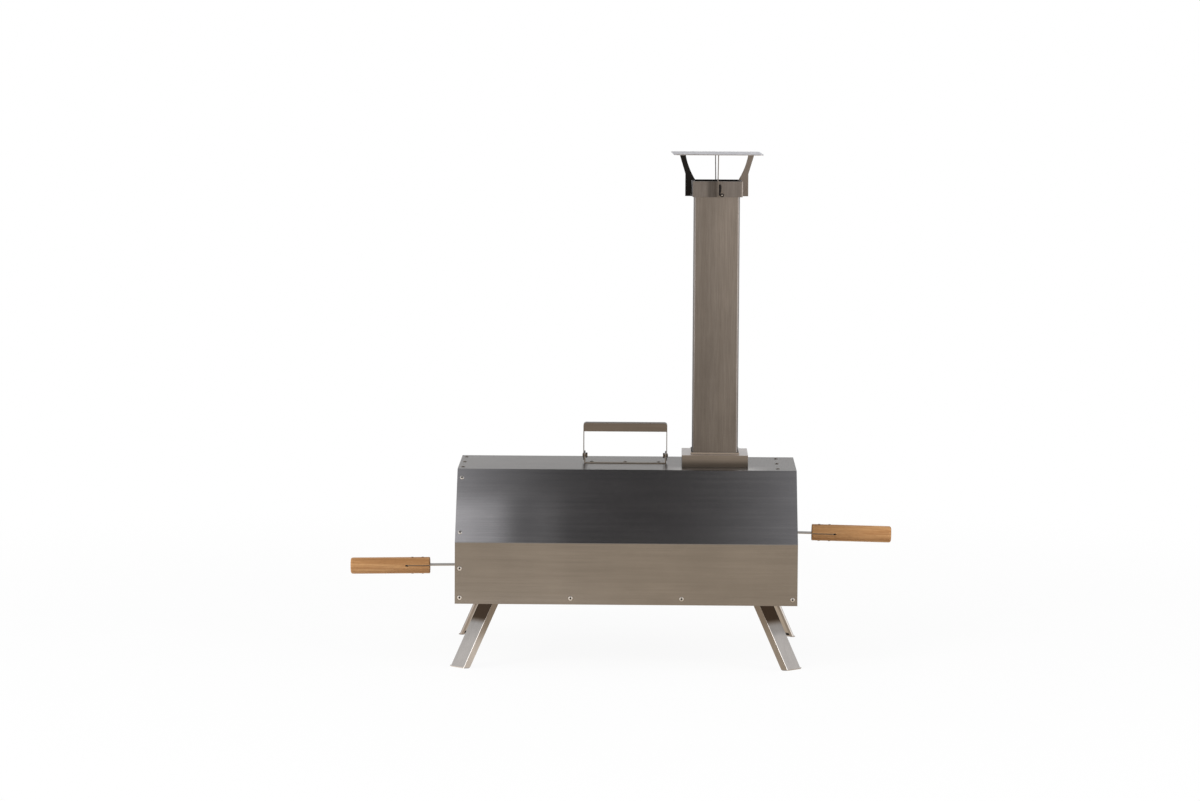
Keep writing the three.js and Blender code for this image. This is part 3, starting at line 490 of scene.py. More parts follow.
@dataclass(frozen=True)
class Beech(Finish):
    """Oiled beech that grew along X, with long grain, short pores and a darker band at the inner end."""

    dark: Colour
    pore: Colour
    end_colour: Colour
    end_from: float
    end_blend: float = 4.0 * MM
    grain_depth: float = 0.1 * MM

    def lay(self, sheet: Sheet) -> bpy.types.Material:
        """Lays the wood.

        Args:
            sheet: The empty material.

        Returns:
            The finished material.
        """
        wander = sheet.noise(sheet.stretch((14.0, 30.0, 30.0)), 2.0)
        bend = sheet.add("VectorMath", {0: sheet.stretch((7.0, 210.0, 210.0)), 1: wander}, operation="ADD")
        grain = sheet.noise(bend.outputs[0], 4.0, 0.6)
        flames = sheet.noise(sheet.stretch((11.0, 70.0, 70.0), (2.0, 7.0, 4.0)))
        rings = sheet.stretch((26.0, 120.0, 120.0))
        inputs = {"Vector": rings, "Scale": 0.6, "Distortion": 5.0, "Detail": 2.0}
        growth = sheet.add("TexWave", inputs, bands_direction="Z").outputs["Fac"]
        pores = sheet.noise(sheet.stretch((180.0, 2600.0, 2600.0)), 1.0)
        reach = sheet.math("ABSOLUTE", sheet.along("X"))
        layers = (
            (grain, 0.35, 0.68, 0.8, self.dark),
            (growth, 0.55, 0.95, 0.35, self.dark),
            (flames, 0.5, 0.72, 0.55, self.dark),
            (pores, 0.62, 0.72, 0.5, self.pore),
            (reach, self.end_from, self.end_from - self.end_blend, 0.75, self.end_colour),
        )
        colour = self.colour
        for pattern, low, high, share, stain in layers:
            colour = sheet.blend(sheet.remap(pattern, low, high, 0.0, share), colour, stain)
        return sheet.finish(
            Base_Color=colour,
            Roughness=sheet.remap(grain, 0.3, 0.7, 0.5, 0.64),
            Specular_IOR_Level=0.2,
            Normal=sheet.bump(grain, self.grain_depth, 0.5),
        )


@dataclass(frozen=True)
class FiredClay(Finish):
    """Cordierite slab with fine speckle, pits and faint scorching."""

    speckle: Colour
    scorch: Colour
    grit_scale: tuple = (900.0, 900.0, 900.0)
    scorch_scale: tuple = (14.0, 14.0, 14.0)
    pit_depth: float = 0.2 * MM

    def lay(self, sheet: Sheet) -> bpy.types.Material:
        """Lays the clay.

        Args:
            sheet: The empty material.

        Returns:
            The finished material.
        """
        grit = sheet.noise(sheet.stretch(self.grit_scale), 2.0)
        burns = sheet.noise(sheet.stretch(self.scorch_scale), 4.0, 0.65)
        colour = sheet.blend(sheet.remap(grit, 0.58, 0.68, 0.0, 0.7), self.colour, self.speckle)
        colour = sheet.blend(sheet.remap(burns, 0.52, 0.75, 0.0, 0.35), colour, self.scorch)
        return sheet.finish(Base_Color=colour, Roughness=0.86, Normal=sheet.bump(grit, self.pit_depth, 0.6))


@dataclass(frozen=True)
class FiredSteel(Finish):
    """Steel sheet inside the oven, blued and browned by the fire, with soot."""

    tint: Colour
    soot: Colour
    soot_share: float = 0.4
    band_scale: tuple = (22.0, 22.0, 30.0)
    dust_scale: tuple = (60.0, 60.0, 60.0)
    line_scale: tuple = (9.0, 900.0, 900.0)
    line_depth: float = 0.01 * MM

    def lay(self, sheet: Sheet) -> bpy.types.Material:
        """Lays the fired sheet.

        Args:
            sheet: The empty material.

        Returns:
            The finished material.
        """
        bands = sheet.noise(sheet.stretch(self.band_scale))
        dust = sheet.noise(sheet.stretch(self.dust_scale), 5.0, 0.7)
        lines = sheet.noise(sheet.stretch(self.line_scale), 2.0)
        colour = sheet.blend(sheet.remap(bands, 0.4, 0.66, 0.0, 0.8), self.colour, self.tint)
        colour = sheet.blend(sheet.remap(dust, 0.42, 0.7, 0.0, self.soot_share), colour, self.soot)
        return sheet.finish(
            Base_Color=colour,
            Metallic=0.9,
            Roughness=sheet.remap(dust, 0.35, 0.7, 0.34, 0.62),
            Normal=sheet.bump(lines, self.line_depth),
        )


def middle_of(node: str) -> Vector:
    """Returns the middle of a node's box."""
    low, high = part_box(node)
    return (low + high) / 2.0


FLUE_X = middle_of("flue_tube").x
# Painted reflection: the shell's rear end is lighter, with a fainter lighter spot beside it.
PAINTED_REFLECTION_REAR_END = Patch(0.7, (("X", -0.145, -0.190), ("Z", 0.262, 0.225), ("Z", 0.1860, 0.1885)))
PAINTED_REFLECTION_REAR_SPOT = Patch(
    0.2, (("X", -0.14, -0.11), ("X", -0.07, -0.10), ("Z", 0.262, 0.235), ("Z", 0.186, 0.1885))
)
# Painted light: a soft lighter strip on the roof in front of the flue socket.
SOCKET_STRIP_LIGHT = Patch(
    0.4, (("X", 0.05, 0.11), ("X", 0.229, 0.169), ("Y", -0.03, -0.078), ("Z", 0.2838, 0.2842))
)
# Painted light: the flue tube grows lighter towards its right side.
FLUE_LIT_SIDE = Patch(0.17, (("X", 0.122, 0.160),))
# Painted shade: the flue tube grows darker towards its foot.
FLUE_FOOT_SHADE = Patch(-0.21, (("Z", 0.58, 0.33),))
# Painted reflection: a darker band on the collar's front beside the near bracket.
COLLAR_PAINTED_REFLECTION = Patch(-0.42, (("X", 0.123, 0.128), ("X", 0.139, 0.1378), ("Y", 0.0, -0.02)))
# Painted highlights: bright lines along the collar's upright edges.
COLLAR_EDGE_HIGHLIGHT_LEFT = Patch(1.2, (("X", 0.1031, 0.1023),))
COLLAR_EDGE_HIGHLIGHT_RIGHT = Patch(1.2, (("X", 0.1755, 0.1763),))
# Painted highlight: a bright line along the socket's top edge.
SOCKET_RIM_HIGHLIGHT = Patch(0.8, (("Z", 0.3013, 0.3019),))
# Painted shade: the socket grows darker towards its foot on the roof.
SOCKET_FOOT_SHADE = Patch(-0.5, (("Z", 0.2975, 0.287),))
# Painted light: the legs' webs, which face sideways, are lighter than their flanges.
LEG_WEB_LIGHT = Patch(0.38, facing="X")
LEG_SHADE = Patch(-0.86, (("Z", 0.064, 0.075),), "X")
# Painted shade: a milder dark band on the front legs' webs, below the top shade and upwards.
LEG_HALF_SHADE = Patch(-0.24, (("X", 0.0, 0.02), ("Z", 0.048, 0.058)), "X")
# Painted shade: the legs grow darker towards their tops under the oven.
LEG_TOP_SHADE = Patch(-0.3, (("Z", 0.030, 0.090),))
# Painted shade: the rear far leg is darker all over.
LEG_FAR_SHADE = Patch(-0.42, (("X", -0.10, -0.15), ("Y", 0.08, 0.10)))
# Painted highlights: bright lines on the legs' outer folds.
LEG_FOLD_HIGHLIGHT_NEAR = Patch(1.5, (("Z", 0.085, 0.065), ("Y", -0.152, -0.160)), "X", 0.1, 0.63)
LEG_FOLD_HIGHLIGHT_FAR = Patch(1.5, (("Z", 0.085, 0.065), ("Y", 0.152, 0.160)), "X", 0.1, 0.63)
# Painted shade: the cap brackets' faces that look along Y are darker.
BRACKET_TAB_SHADE = Patch(-0.42, facing="Y")

SHELL = BrushedSteel(
    "shell_steel",
    linear(142, 138, 135),
    Grain.ALONG,
    roughness=0.25,
    anisotropy=0.75,
    patches=(PAINTED_REFLECTION_REAR_END, PAINTED_REFLECTION_REAR_SPOT, SOCKET_STRIP_LIGHT),
)
FLUE = BrushedSteel(
    "flue_steel",
    linear(120, 116, 114),
    Grain.UPRIGHT,
    line_contrast=0.075,
    line_run=26.0,
    patches=(FLUE_LIT_SIDE, FLUE_FOOT_SHADE),
    bore_x=FLUE_X,
)
COLLAR = BrushedSteel(
    "collar_steel",
    linear(114, 111, 111),
    Grain.UPRIGHT,
    line_contrast=0.08,
    line_run=34.0,
    patches=(COLLAR_PAINTED_REFLECTION, COLLAR_EDGE_HIGHLIGHT_LEFT, COLLAR_EDGE_HIGHLIGHT_RIGHT),
    bore_x=FLUE_X,
)
LEG = BrushedSteel(
    "leg_steel",
    linear(150, 146, 143),
    Grain.UPRIGHT,
    roughness=0.16,
    anisotropy=0.2,
    shade_warmth=0.16,
    patches=(LEG_WEB_LIGHT, LEG_SHADE, LEG_HALF_SHADE, LEG_TOP_SHADE, LEG_FAR_SHADE, LEG_FOLD_HIGHLIGHT_NEAR, LEG_FOLD_HIGHLIGHT_FAR),
)
SOCKET = BrushedSteel("socket_steel", linear(138, 133, 130), Grain.ALONG, patches=(SOCKET_RIM_HIGHLIGHT, SOCKET_FOOT_SHADE))
PANEL = BrushedSteel("panel_steel", linear(164, 159, 155), Grain.UPRIGHT, roughness=0.34)
STRAP = BrushedSteel("strap_steel", linear(150, 145, 140), Grain.ALONG)
BRACKET = BrushedSteel(
    "bracket_steel", linear(146, 140, 136), Grain.UPRIGHT, grazing=1.0, patches=(BRACKET_TAB_SHADE,)
)
# Painted shade: a darker copy of the bracket steel for the right-hand cap bracket.
BRACKET_SIDE_SHADE = BrushedSteel("shaded_side_bracket_steel", linear(118, 113, 110), Grain.UPRIGHT)
# Painted shade: a near-black copy of the bracket steel for the left-hand cap bracket.
BRACKET_SHADE = BrushedSteel("shaded_bracket_steel", linear(34, 33, 33), Grain.UPRIGHT, roughness=0.4)
BAIL = BrushedSteel("bail_steel", linear(122, 116, 112), Grain.ALONG, roughness=0.34)
# Painted shade: a dark copy of the steel for the floor plate under the oven.
UNDERSIDE_SHADE = BrushedSteel("shaded_underside_steel", linear(74, 66, 60), Grain.ALONG, roughness=0.4)
ZINC = PlatedMetal("zinc_plate", linear(210, 208, 212), spangle=0.02, marking=0.03, side_shade=0.6)
RIVET = PlatedMetal("rivet_aluminium", linear(190, 186, 182), spangle=0.04)
FASTENER = PlatedMetal("dull_fastener", linear(104, 94, 84), roughness=0.4, spangle=0.05)
# Painted shade: the pins in the rivets' holes are near black, for the shade in the holes.
SHADED_MANDREL = DarkScaleAndShade("shaded_rivet_mandrel", linear(20, 17, 15))
WELD = DarkScaleAndShade("weld_scale", linear(26, 22, 20))
# Painted shadow: the dark plate in the corner between each cap bracket's fin and tab.
TAB_SHADOW = DarkScaleAndShade("painted_tab_shadow", linear(42, 39, 38))
WOOD = Beech(
    "oiled_beech",
    linear(192, 146, 98),
    dark=linear(160, 112, 68),
    pore=linear(116, 72, 38),
    end_colour=linear(84, 50, 26),
    end_from=0.2868,
)
# Painted shade: a dark copy of the beech for the eye at the end of each grip's slit.
EYE_SHADE = Beech(
    "shaded_beech",
    linear(84, 40, 22),
    dark=linear(56, 26, 14),
    pore=linear(40, 20, 12),
    end_colour=linear(60, 34, 22),
    end_from=0.1,
)
CLAY = FiredClay("scorched_cordierite", linear(205, 186, 158), linear(140, 116, 90), linear(120, 98, 78))
FIRED = FiredSteel("fired_steel", linear(104, 98, 94), linear(96, 76, 62), linear(34, 31, 30))


# Mesh building


def lathe(
    mesh: bmesh.types.BMesh,
    profile: Iterable[tuple[float, float]],
    segments: int,
    placing: Matrix,
    slot: int = 0,
) -> None:
    """Turns a profile about its local Z axis and adds it to a mesh.

    Args:
        mesh: The mesh it is added to.
        profile: Radius and height pairs, in metres, from one end to the other.
        segments: How many steps go round the axis.
        placing: Where the local frame stands in the part's frame.
        slot: The material slot of its faces.
    """
    rings = []
    for radius, height in profile:
        if radius < ON_AXIS:
            rings.append([mesh.verts.new(placing @ Vector((0.0, 0.0, height)))])
            continue
        ring = []
        for step in range(segments):
            turn = 2.0 * math.pi * step / segments
            point = Vector((radius * math.cos(turn), radius * math.sin(turn), height))
            ring.append(mesh.verts.new(placing @ point))
        rings.append(ring)
    for lower, upper in zip(rings, rings[1:]):
        for step in range(segments):
            following = (step + 1) % segments
            corners = [lower[step % len(lower)], lower[following % len(lower)]]
            corners += [upper[following % len(upper)], upper[step % len(upper)]]
            face = mesh.faces.new(list(dict.fromkeys(corners)))
            face.material_index = slot
            face.smooth = True


def plate(mesh: bmesh.types.BMesh, outline: Iterable[Vector], rise: Vector, slot: int = 0) -> None:
    """Adds a flat plate to a mesh.

    Args:
        mesh: The mesh it is added to.
        outline: The corners of its lower face in order.
        rise: The way from its lower to its upper face.
        slot: The material slot of its faces.
    """
    lower = [mesh.verts.new(corner) for corner in outline]
    upper = [mesh.verts.new(corner.co + rise) for corner in lower]
    faces = [mesh.faces.new(lower[::-1]), mesh.faces.new(upper)]
    for step, corner in enumerate(lower):
        following = (step + 1) % len(lower)
        faces.append(mesh.faces.new([corner, lower[following], upper[following], upper[step]]))
    for face in faces:
        face.material_index = slot


def hex_nut(mesh: bmesh.types.BMesh, flats: float, bore: float, rise: float, placing: Matrix) -> None:
    """Adds a hexagon nut with chamfered corners to a mesh.

    Args:
        mesh: The mesh it is added to.
        flats: Width over its flats.
        bore: Radius of its bore.
        rise: Its height along the local Z axis.
        placing: Where its lower face stands in the part's frame.
    """
    corner = flats / 2.0 / math.cos(math.pi / 6.0)
    chamfer = (corner - flats / 2.0) * 0.9
    slope = chamfer * 0.6
    profile = [
        (bore, 0.0),
        (corner - chamfer, 0.0),
        (corner, slope),
        (corner, rise - slope),
        (corner - chamfer, rise),
        (bore, rise),
        (bore, 0.0),
    ]
    first = len(mesh.faces)
    lathe(mesh, profile, 6, placing)
    mesh.faces.ensure_lookup_table()
    for face in mesh.faces[first:]:
        face.smooth = False


def link(name: str, mesh: bmesh.types.BMesh, materials: Iterable[bpy.types.Material]) -> bpy.types.Object:
    """Turns a mesh into an object of the scene.

    Args:
        name: The object's name.
        mesh: Its mesh, which is used up.
        materials: Its materials, in the order of its face slots.

    Returns:
        The object.
    """
    data = bpy.data.meshes.new(name)
    mesh.to_mesh(data)
    mesh.free()
    for material in materials:
        data.materials.append(material)
    obj = bpy.data.objects.new(name, data)
    bpy.context.scene.collection.objects.link(obj)
    return obj


def carve(obj: bpy.types.Object, cutters: Iterable[bmesh.types.BMesh], sharp: float = 38.0) -> None:
    """Cuts shapes out of a piece.

    Args:
        obj: The piece.
        cutters: The shapes, whose face slots the cut faces take. They are used up.
        sharp: Least angle between two faces whose edge stays sharp, in degrees.
    """
    tools = []
    for mesh in cutters:
        bmesh.ops.recalc_face_normals(mesh, faces=mesh.faces)
        tool = link("cutter", mesh, obj.data.materials)
        modifier = obj.modifiers.new("carve", "BOOLEAN")
        modifier.operation = "DIFFERENCE"
        modifier.solver = "EXACT"
        modifier.object = tool
        tools.append(tool)
    graph = bpy.context.evaluated_depsgraph_get()
    carved = bpy.data.meshes.new_from_object(obj.evaluated_get(graph), depsgraph=graph)
    obj.modifiers.clear()
    whole = obj.data
    obj.data = carved
    bpy.data.meshes.remove(whole)
    carved.name = obj.name
    for tool in tools:
        data = tool.data
        bpy.data.objects.remove(tool, do_unlink=True)
        bpy.data.meshes.remove(data)
    carved.set_sharp_from_angle(angle=math.radians(sharp))


def aim(point: Vector, normal: Vector) -> Matrix:
    """Returns a placing at that point whose local Z axis follows the normal."""
    turn = UP.rotation_difference(normal.normalized())
    return Matrix.Translation(point) @ turn.to_matrix().to_4x4()


def piece(
    name: str,
    mesh: bmesh.types.BMesh,
    body: str,
    finishes: Iterable[Finish],
    stands_for: Iterable[str] = (),
) -> bpy.types.Object:
    """Turns a mesh into a piece that rides a body.

    Args:
        name: The piece's name.
        mesh: Its mesh, which is used up.
        body: The body that it moves with.
        finishes: Its finishes, in the order of its face slots.
        stands_for: The nodes that it is shown for.

    Returns:
        The piece.
    """
    bmesh.ops.recalc_face_normals(mesh, faces=mesh.faces)
    obj = link(name, mesh, [finish.material() for finish in finishes])
    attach(obj, body)
    nodes = tuple(stands_for)
    if nodes:
        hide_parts(*nodes)
    return obj


def soften(obj: bpy.types.Object, width: float, angle: float = 35.0, segments: int = 2) -> None:
    """Joins a node's loose faces and rounds its sharp edges with modifiers.

    Args:
        obj: The node's object.
        width: Width of the rounded edge, in metres.
        angle: Least angle between two faces whose edge is rounded, in degrees.
        segments: Steps across the rounded edge.
    """
    weld = obj.modifiers.new("join_faces", "WELD")
    weld.merge_threshold = SAME_PLACE
    bevel = obj.modifiers.new("eased_edges", "BEVEL")
    bevel.width = width
    bevel.segments = segments
    bevel.limit_method = "ANGLE"
    bevel.angle_limit = math.radians(angle)
    bevel.harden_normals = True


# Sub-assemblies


@dataclass
class Carcass:
    """The folded shell and every other node that keeps its shape and gets a finish."""

    edge: float = 0.25 * MM
    thin_edge: float = 0.12 * MM
    round_edge: float = 0.32 * MM
    round_angle: float = 20.0
    leg_edge: float = 0.3 * MM
    leg_angle: float = 30.0
    fold_steps: int = 3
    thin: tuple[str, ...] = ("fire_grate", "tray_face", "fuel_tray")
    rounded: tuple[str, ...] = ("flue_tube", "cap_collar", "outer_shell")
    legs: tuple[str, ...] = tuple(f"leg_{corner}" for corner in CORNERS)
    leg_brackets: tuple[str, ...] = tuple(f"leg_bracket_{corner}" for corner in CORNERS)

    def build(self) -> None:
        """Dresses the nodes that stay in the picture."""
        dressing = (
            (SHELL, ("outer_shell",)),
            (FLUE, ("flue_tube",)),
            (COLLAR, ("cap_collar",)),
            (SOCKET, ("flue_socket",)),
            (PANEL, ("rear_panel", "front_panel", "door_plate", "tray_face", *self.leg_brackets)),
            (UNDERSIDE_SHADE, ("floor_plate",)),
            (STRAP, ("door_arm", "tray_arm", "bail_base", "tray_runner_near", "tray_runner_far")),
            (LEG, self.legs),
            (BRACKET, ("cap_bracket_near", "cap_bracket_far")),
            (BRACKET_SIDE_SHADE, ("cap_bracket_right",)),
            (BRACKET_SHADE, ("cap_bracket_left",)),
            (BAIL, ("bail_handle",)),
            (ZINC, ("cap_plate",)),
            (CLAY, ("baking_stone",)),
            (FIRED, ("door_liner", "flame_baffle", "fuel_tray", "fire_grate")),
            (FIRED, ("stone_rail_near", "stone_rail_far")),
        )
        for finish, names in dressing:
            for name in names:
                self._dress(name, finish)

    def _dress(self, name: str, finish: Finish) -> None:
        """Gives one node its finish and eased edges.

        Args:
            name: The node's name.
            finish: Its finish.
        """
        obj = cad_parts[name]
        obj.data.materials.clear()
        obj.data.materials.append(finish.material())
        if name in self.rounded:
            soften(obj, self.round_edge, self.round_angle, self.fold_steps)
        elif name in self.legs:
            soften(obj, self.leg_edge, self.leg_angle, self.fold_steps)
        else:
            soften(obj, self.thin_edge if name in self.thin else self.edge)


@dataclass
class BlindRivets:
    """The blind rivets that hold the shell to the panels and the floor."""

    head_radius: float = 3.2 * MM
    head_height: float = 0.9 * MM
    head_steps: int = 6
    rim_sunk: float = 0.15 * MM
    rim_rise: float = 0.12 * MM
    lip: float = 0.1 * MM
    hole_radius: float = 1.55 * MM
    hole_depth: float = 0.7 * MM
    pin_rise: float = 0.12 * MM
    segments: int = 28
    row_reach: float = 243.0 * MM
    row_inner: float = 81.0 * MM
    row_height: float = 105.5 * MM
    column_wall: float = 148.5 * MM
    column_shares: tuple[float, float] = (0.14, 0.88)
    wall_top: float = 186.5 * MM
    roof_half: float = 89.0 * MM
    roof_spread: float = 65.0 * MM
    roof_front_inset: float = 27.0 * MM
    foot_from_bend: float = 4.95 * MM
    foot_pitches: tuple = (("door", 1.0, 10.5 * MM), ("tray", -1.0, 6.8 * MM))
    arm_sheet: float = 1.5 * MM
    base_sunk: float = 1.2 * MM

    def build(self) -> None:
        """Builds the rows on the walls, the end column, the roof, the arms' feet and the bail's base."""
        low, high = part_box("outer_shell")
        middle = (low.x + high.x) / 2.0
        for side, label in ((-1.0, "near"), (1.0, "far")):
            wall = side * high.y
            outward = Vector((0.0, side, 0.0))
            spots = []
            for reach in (-self.row_reach, -self.row_inner, self.row_inner, self.row_reach):
                spots.append((Vector((middle + reach, wall, self.row_height)), outward))
            self._row(f"skirt_rivets_{label}", spots)
            slope_out = Vector((0.0, side * (high.z - self.wall_top), high.y - self.roof_half)).normalized()
            column = [(Vector((middle - self.row_reach, wall, self.column_wall)), outward)]
            for share in self.column_shares:
                across = side * (high.y + (self.roof_half - high.y) * share)
                up = self.wall_top + (high.z - self.wall_top) * share
                column.append((Vector((middle - self.row_reach, across, up)), slope_out))
            self._row(f"end_rivets_{label}", column)
        for x, label in ((middle - self.row_reach, "rear"), (high.x - self.roof_front_inset, "front")):
            places = (-self.roof_spread, 0.0, self.roof_spread)
            spots = [(Vector((x, across, high.z)), UP) for across in places]
            self._row(f"roof_rivets_{label}", spots, FASTENER)
        self._arm_feet()
        self._bail_base()

    def _arm_feet(self) -> None:
        """Builds the two rivets through each arm's upright foot."""
        for name, outwards, pitch in self.foot_pitches:
            low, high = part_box(f"{name}_arm")
            face = (low.x if outwards > 0 else high.x) + outwards * self.arm_sheet
            top = high.z - self.foot_from_bend
            out = Vector((outwards, 0.0, 0.0))
            spots = [(Vector((face, 0.0, z)), out) for z in (top, top - pitch)]
            self._row(f"arm_rivets_{name}", spots, RIVET, name)

    def _bail_base(self) -> None:
        """Builds the three rivets that hold the bail's base."""
        nodes = ("bail_rivet_1", "bail_rivet_2", "bail_rivet_3")
        spots = []
        for node in nodes:
            _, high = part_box(node)
            spots.append((Vector((middle_of(node).x, 0.0, high.z - self.base_sunk)), UP))
        self._row("bail_base_rivets", spots, FASTENER, "oven_body", nodes)

    def _row(
        self,
        name: str,
        spots: list[tuple[Vector, Vector]],
        head: PlatedMetal = RIVET,
        body: str = "oven_body",
        stands_for: Iterable[str] = (),
    ) -> None:
        """Builds one row.

        Args:
            name: The row's name.
            spots: Each rivet's place on the sheet and its outward direction.
            head: The finish of the heads.
            body: The body that the row moves with.
            stands_for: The nodes that the row is shown for.
        """
        mesh = bmesh.new()
        for point, outward in spots:
            placing = aim(point, outward)
            lathe(mesh, self._head(), self.segments, placing)
            lathe(mesh, self._mandrel(), self.segments, placing, 1)
        piece(name, mesh, body, (head, SHADED_MANDREL), stands_for)

    def _head(self) -> list[tuple[float, float]]:
        """Works out the domed head with its rolled hole.

        Returns:
            The head's profile.
        """
        profile = [(self.head_radius * 0.98, -self.rim_sunk), (self.head_radius, self.lip)]
        for step in range(1, self.head_steps + 1):
            share = step / self.head_steps
            radius = self.head_radius + (self.hole_radius - self.head_radius) * share
            height = self.head_height * math.sin(math.pi / 2.0 * share) ** 0.8
            profile.append((radius, max(height, self.rim_rise)))
        profile.append((self.hole_radius * 0.92, self.head_height - self.lip))
        profile.append((self.hole_radius * 0.9, self.head_height - self.hole_depth))
        return profile

    def _mandrel(self) -> list[tuple[float, float]]:
        """Works out the broken pin at the bottom of the hole.

        Returns:
            The pin's profile.
        """
        foot = self.head_height - self.hole_depth
        wide, narrow = self.hole_radius * 0.95, self.hole_radius * 0.4
        return [(wide, foot), (narrow, foot + self.pin_rise), (0.0, foot + self.lip)]


@dataclass
class Grip:
    """A turned wooden grip with a sawn slit that ends in an eye, and its two pins."""

    name: str
    outwards: float
    droop: float
    slit_side: float
    segments: int = 72
    inner_corner: float = 1.3 * MM
    trim: float = 0.6 * MM
    inner_trim: float = 0.6 * MM
    outer_corner: float = 3.2 * MM
    corner_steps: int = 6
    slit_depth: float = 34.0 * MM
    slit_height: float = 1.5 * MM
    slit_offset: float = 0.9 * MM
    eye_length: float = 5.2 * MM
    eye_height: float = 2.6 * MM
    eye_segments: int = 24
    cutter_reach_share: float = 1.2
    cutter_overrun: float = 2.0 * MM
    pin_places: tuple[float, float] = (11.0 * MM, 26.5 * MM)
    pin_radius: float = 1.4 * MM
    pin_head: float = 2.1 * MM
    pin_rise: float = 0.55 * MM
    pin_sunk: float = 0.25 * MM
    pin_segments: int = 28
    radius: float = field(init=False)
    length: float = field(init=False)
    placing: Matrix = field(init=False)

    def build(self) -> None:
        """Builds the grip and its pins."""
        low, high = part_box(f"{self.name}_grip")
        self.radius = high.y
        tilt = math.radians(self.droop)
        self.length = (high.x - low.x - 2.0 * self.radius * math.sin(tilt)) / math.cos(tilt) - self.trim
        way = Vector((self.outwards * math.cos(tilt), 0.0, -math.sin(tilt)))
        across = Vector((0.0, 1.0, 0.0))
        up = way.cross(across) if self.outwards > 0 else across.cross(way)
        up = up if up.z > 0 else -up
        turn = Matrix((across, up, way)).transposed().to_4x4()
        middle = (low + high) / 2.0 + way * (self.inner_trim - self.trim / 2.0)
        self.placing = Matrix.Translation(middle - way * (self.length / 2.0)) @ turn
        self._dowel()
        self._pins()

    def _dowel(self) -> None:
        """Turns the dowel and saws its slit and eye."""
        mesh = bmesh.new()
        lathe(mesh, self._profile(), self.segments, self.placing)
        nodes = (f"{self.name}_grip",)
        grip = piece(f"turned_grip_{self.name}", mesh, self.name, (WOOD, EYE_SHADE), nodes)
        carve(grip, (self._slit(), self._eye()))

    def _profile(self) -> list[tuple[float, float]]:
        """Works out the dowel with its rounded ends.

        Returns:
            The dowel's profile.
        """
        profile = [(0.0, 0.0)]
        for corner, centre, start in (
            (self.inner_corner, self.inner_corner, -90.0),
            (self.outer_corner, self.length - self.outer_corner, 0.0),
        ):
            for step in range(self.corner_steps + 1):
                turn = math.radians(start + 90.0 * step / self.corner_steps)
                radius = self.radius - corner + corner * math.cos(turn)
                profile.append((radius, centre + corner * math.sin(turn)))
        profile.append((0.0, self.length))
        return profile

    def _slit(self) -> bmesh.types.BMesh:
        """Makes the slit's cutting block.

        Returns:
            The block's mesh.
        """
        mesh = bmesh.new()
        reach = self.radius * self.cutter_reach_share
        level = self.slit_side * self.slit_offset
        below, above = level - self.slit_height / 2.0, level + self.slit_height / 2.0
        corners = ((-reach, below), (reach, below), (reach, above), (-reach, above))
        outline = [self.placing @ Vector((x, y, -self.cutter_overrun)) for x, y in corners]
        rise = self.placing.to_3x3() @ Vector((0.0, 0.0, self.slit_depth + self.cutter_overrun))
        plate(mesh, outline, rise)
        return mesh

    def _eye(self) -> bmesh.types.BMesh:
        """Makes the cutting bar of the eye at the slit's end.

        Returns:
            The bar's mesh.
        """
        mesh = bmesh.new()
        across = Matrix.Rotation(math.radians(90.0), 4, "Y")
        flat = Matrix.Diagonal((1.0, self.eye_height / self.eye_length, 1.0, 1.0))
        spot = Matrix.Translation(Vector((0.0, self.slit_side * self.slit_offset, self.slit_depth)))
        reach = self.radius * self.cutter_reach_share
        half = self.eye_length / 2.0
        profile = [(0.0, -reach), (half, -reach), (half, reach), (0.0, reach)]
        # The eye's cut faces take the painted shade.
        lathe(mesh, profile, self.eye_segments, self.placing @ spot @ flat @ across, 1)
        return mesh

    def _pins(self) -> None:
        """Builds the two pins with low domed heads."""
        mesh = bmesh.new()
        half = self.radius
        end = [
            (0.0, half + self.pin_rise),
            (self.pin_head * 0.6, half + self.pin_rise * 0.86),
            (self.pin_head * 0.92, half + self.pin_rise * 0.3),
            (self.pin_head, half - self.pin_sunk),
            (self.pin_radius, half - self.pin_sunk * 1.2),
        ]
        profile = [(radius, -height) for radius, height in end] + end[::-1]
        upright = Matrix.Rotation(math.radians(-90.0), 4, "X")
        for place in self.pin_places:
            spot = Matrix.Translation(Vector((0.0, 0.0, place)))
            lathe(mesh, profile, self.pin_segments, self.placing @ spot @ upright)
        nodes = (f"{self.name}_grip_pin_1", f"{self.name}_grip_pin_2")
        piece(f"grip_pins_{self.name}", mesh, self.name, (FASTENER,), nodes)


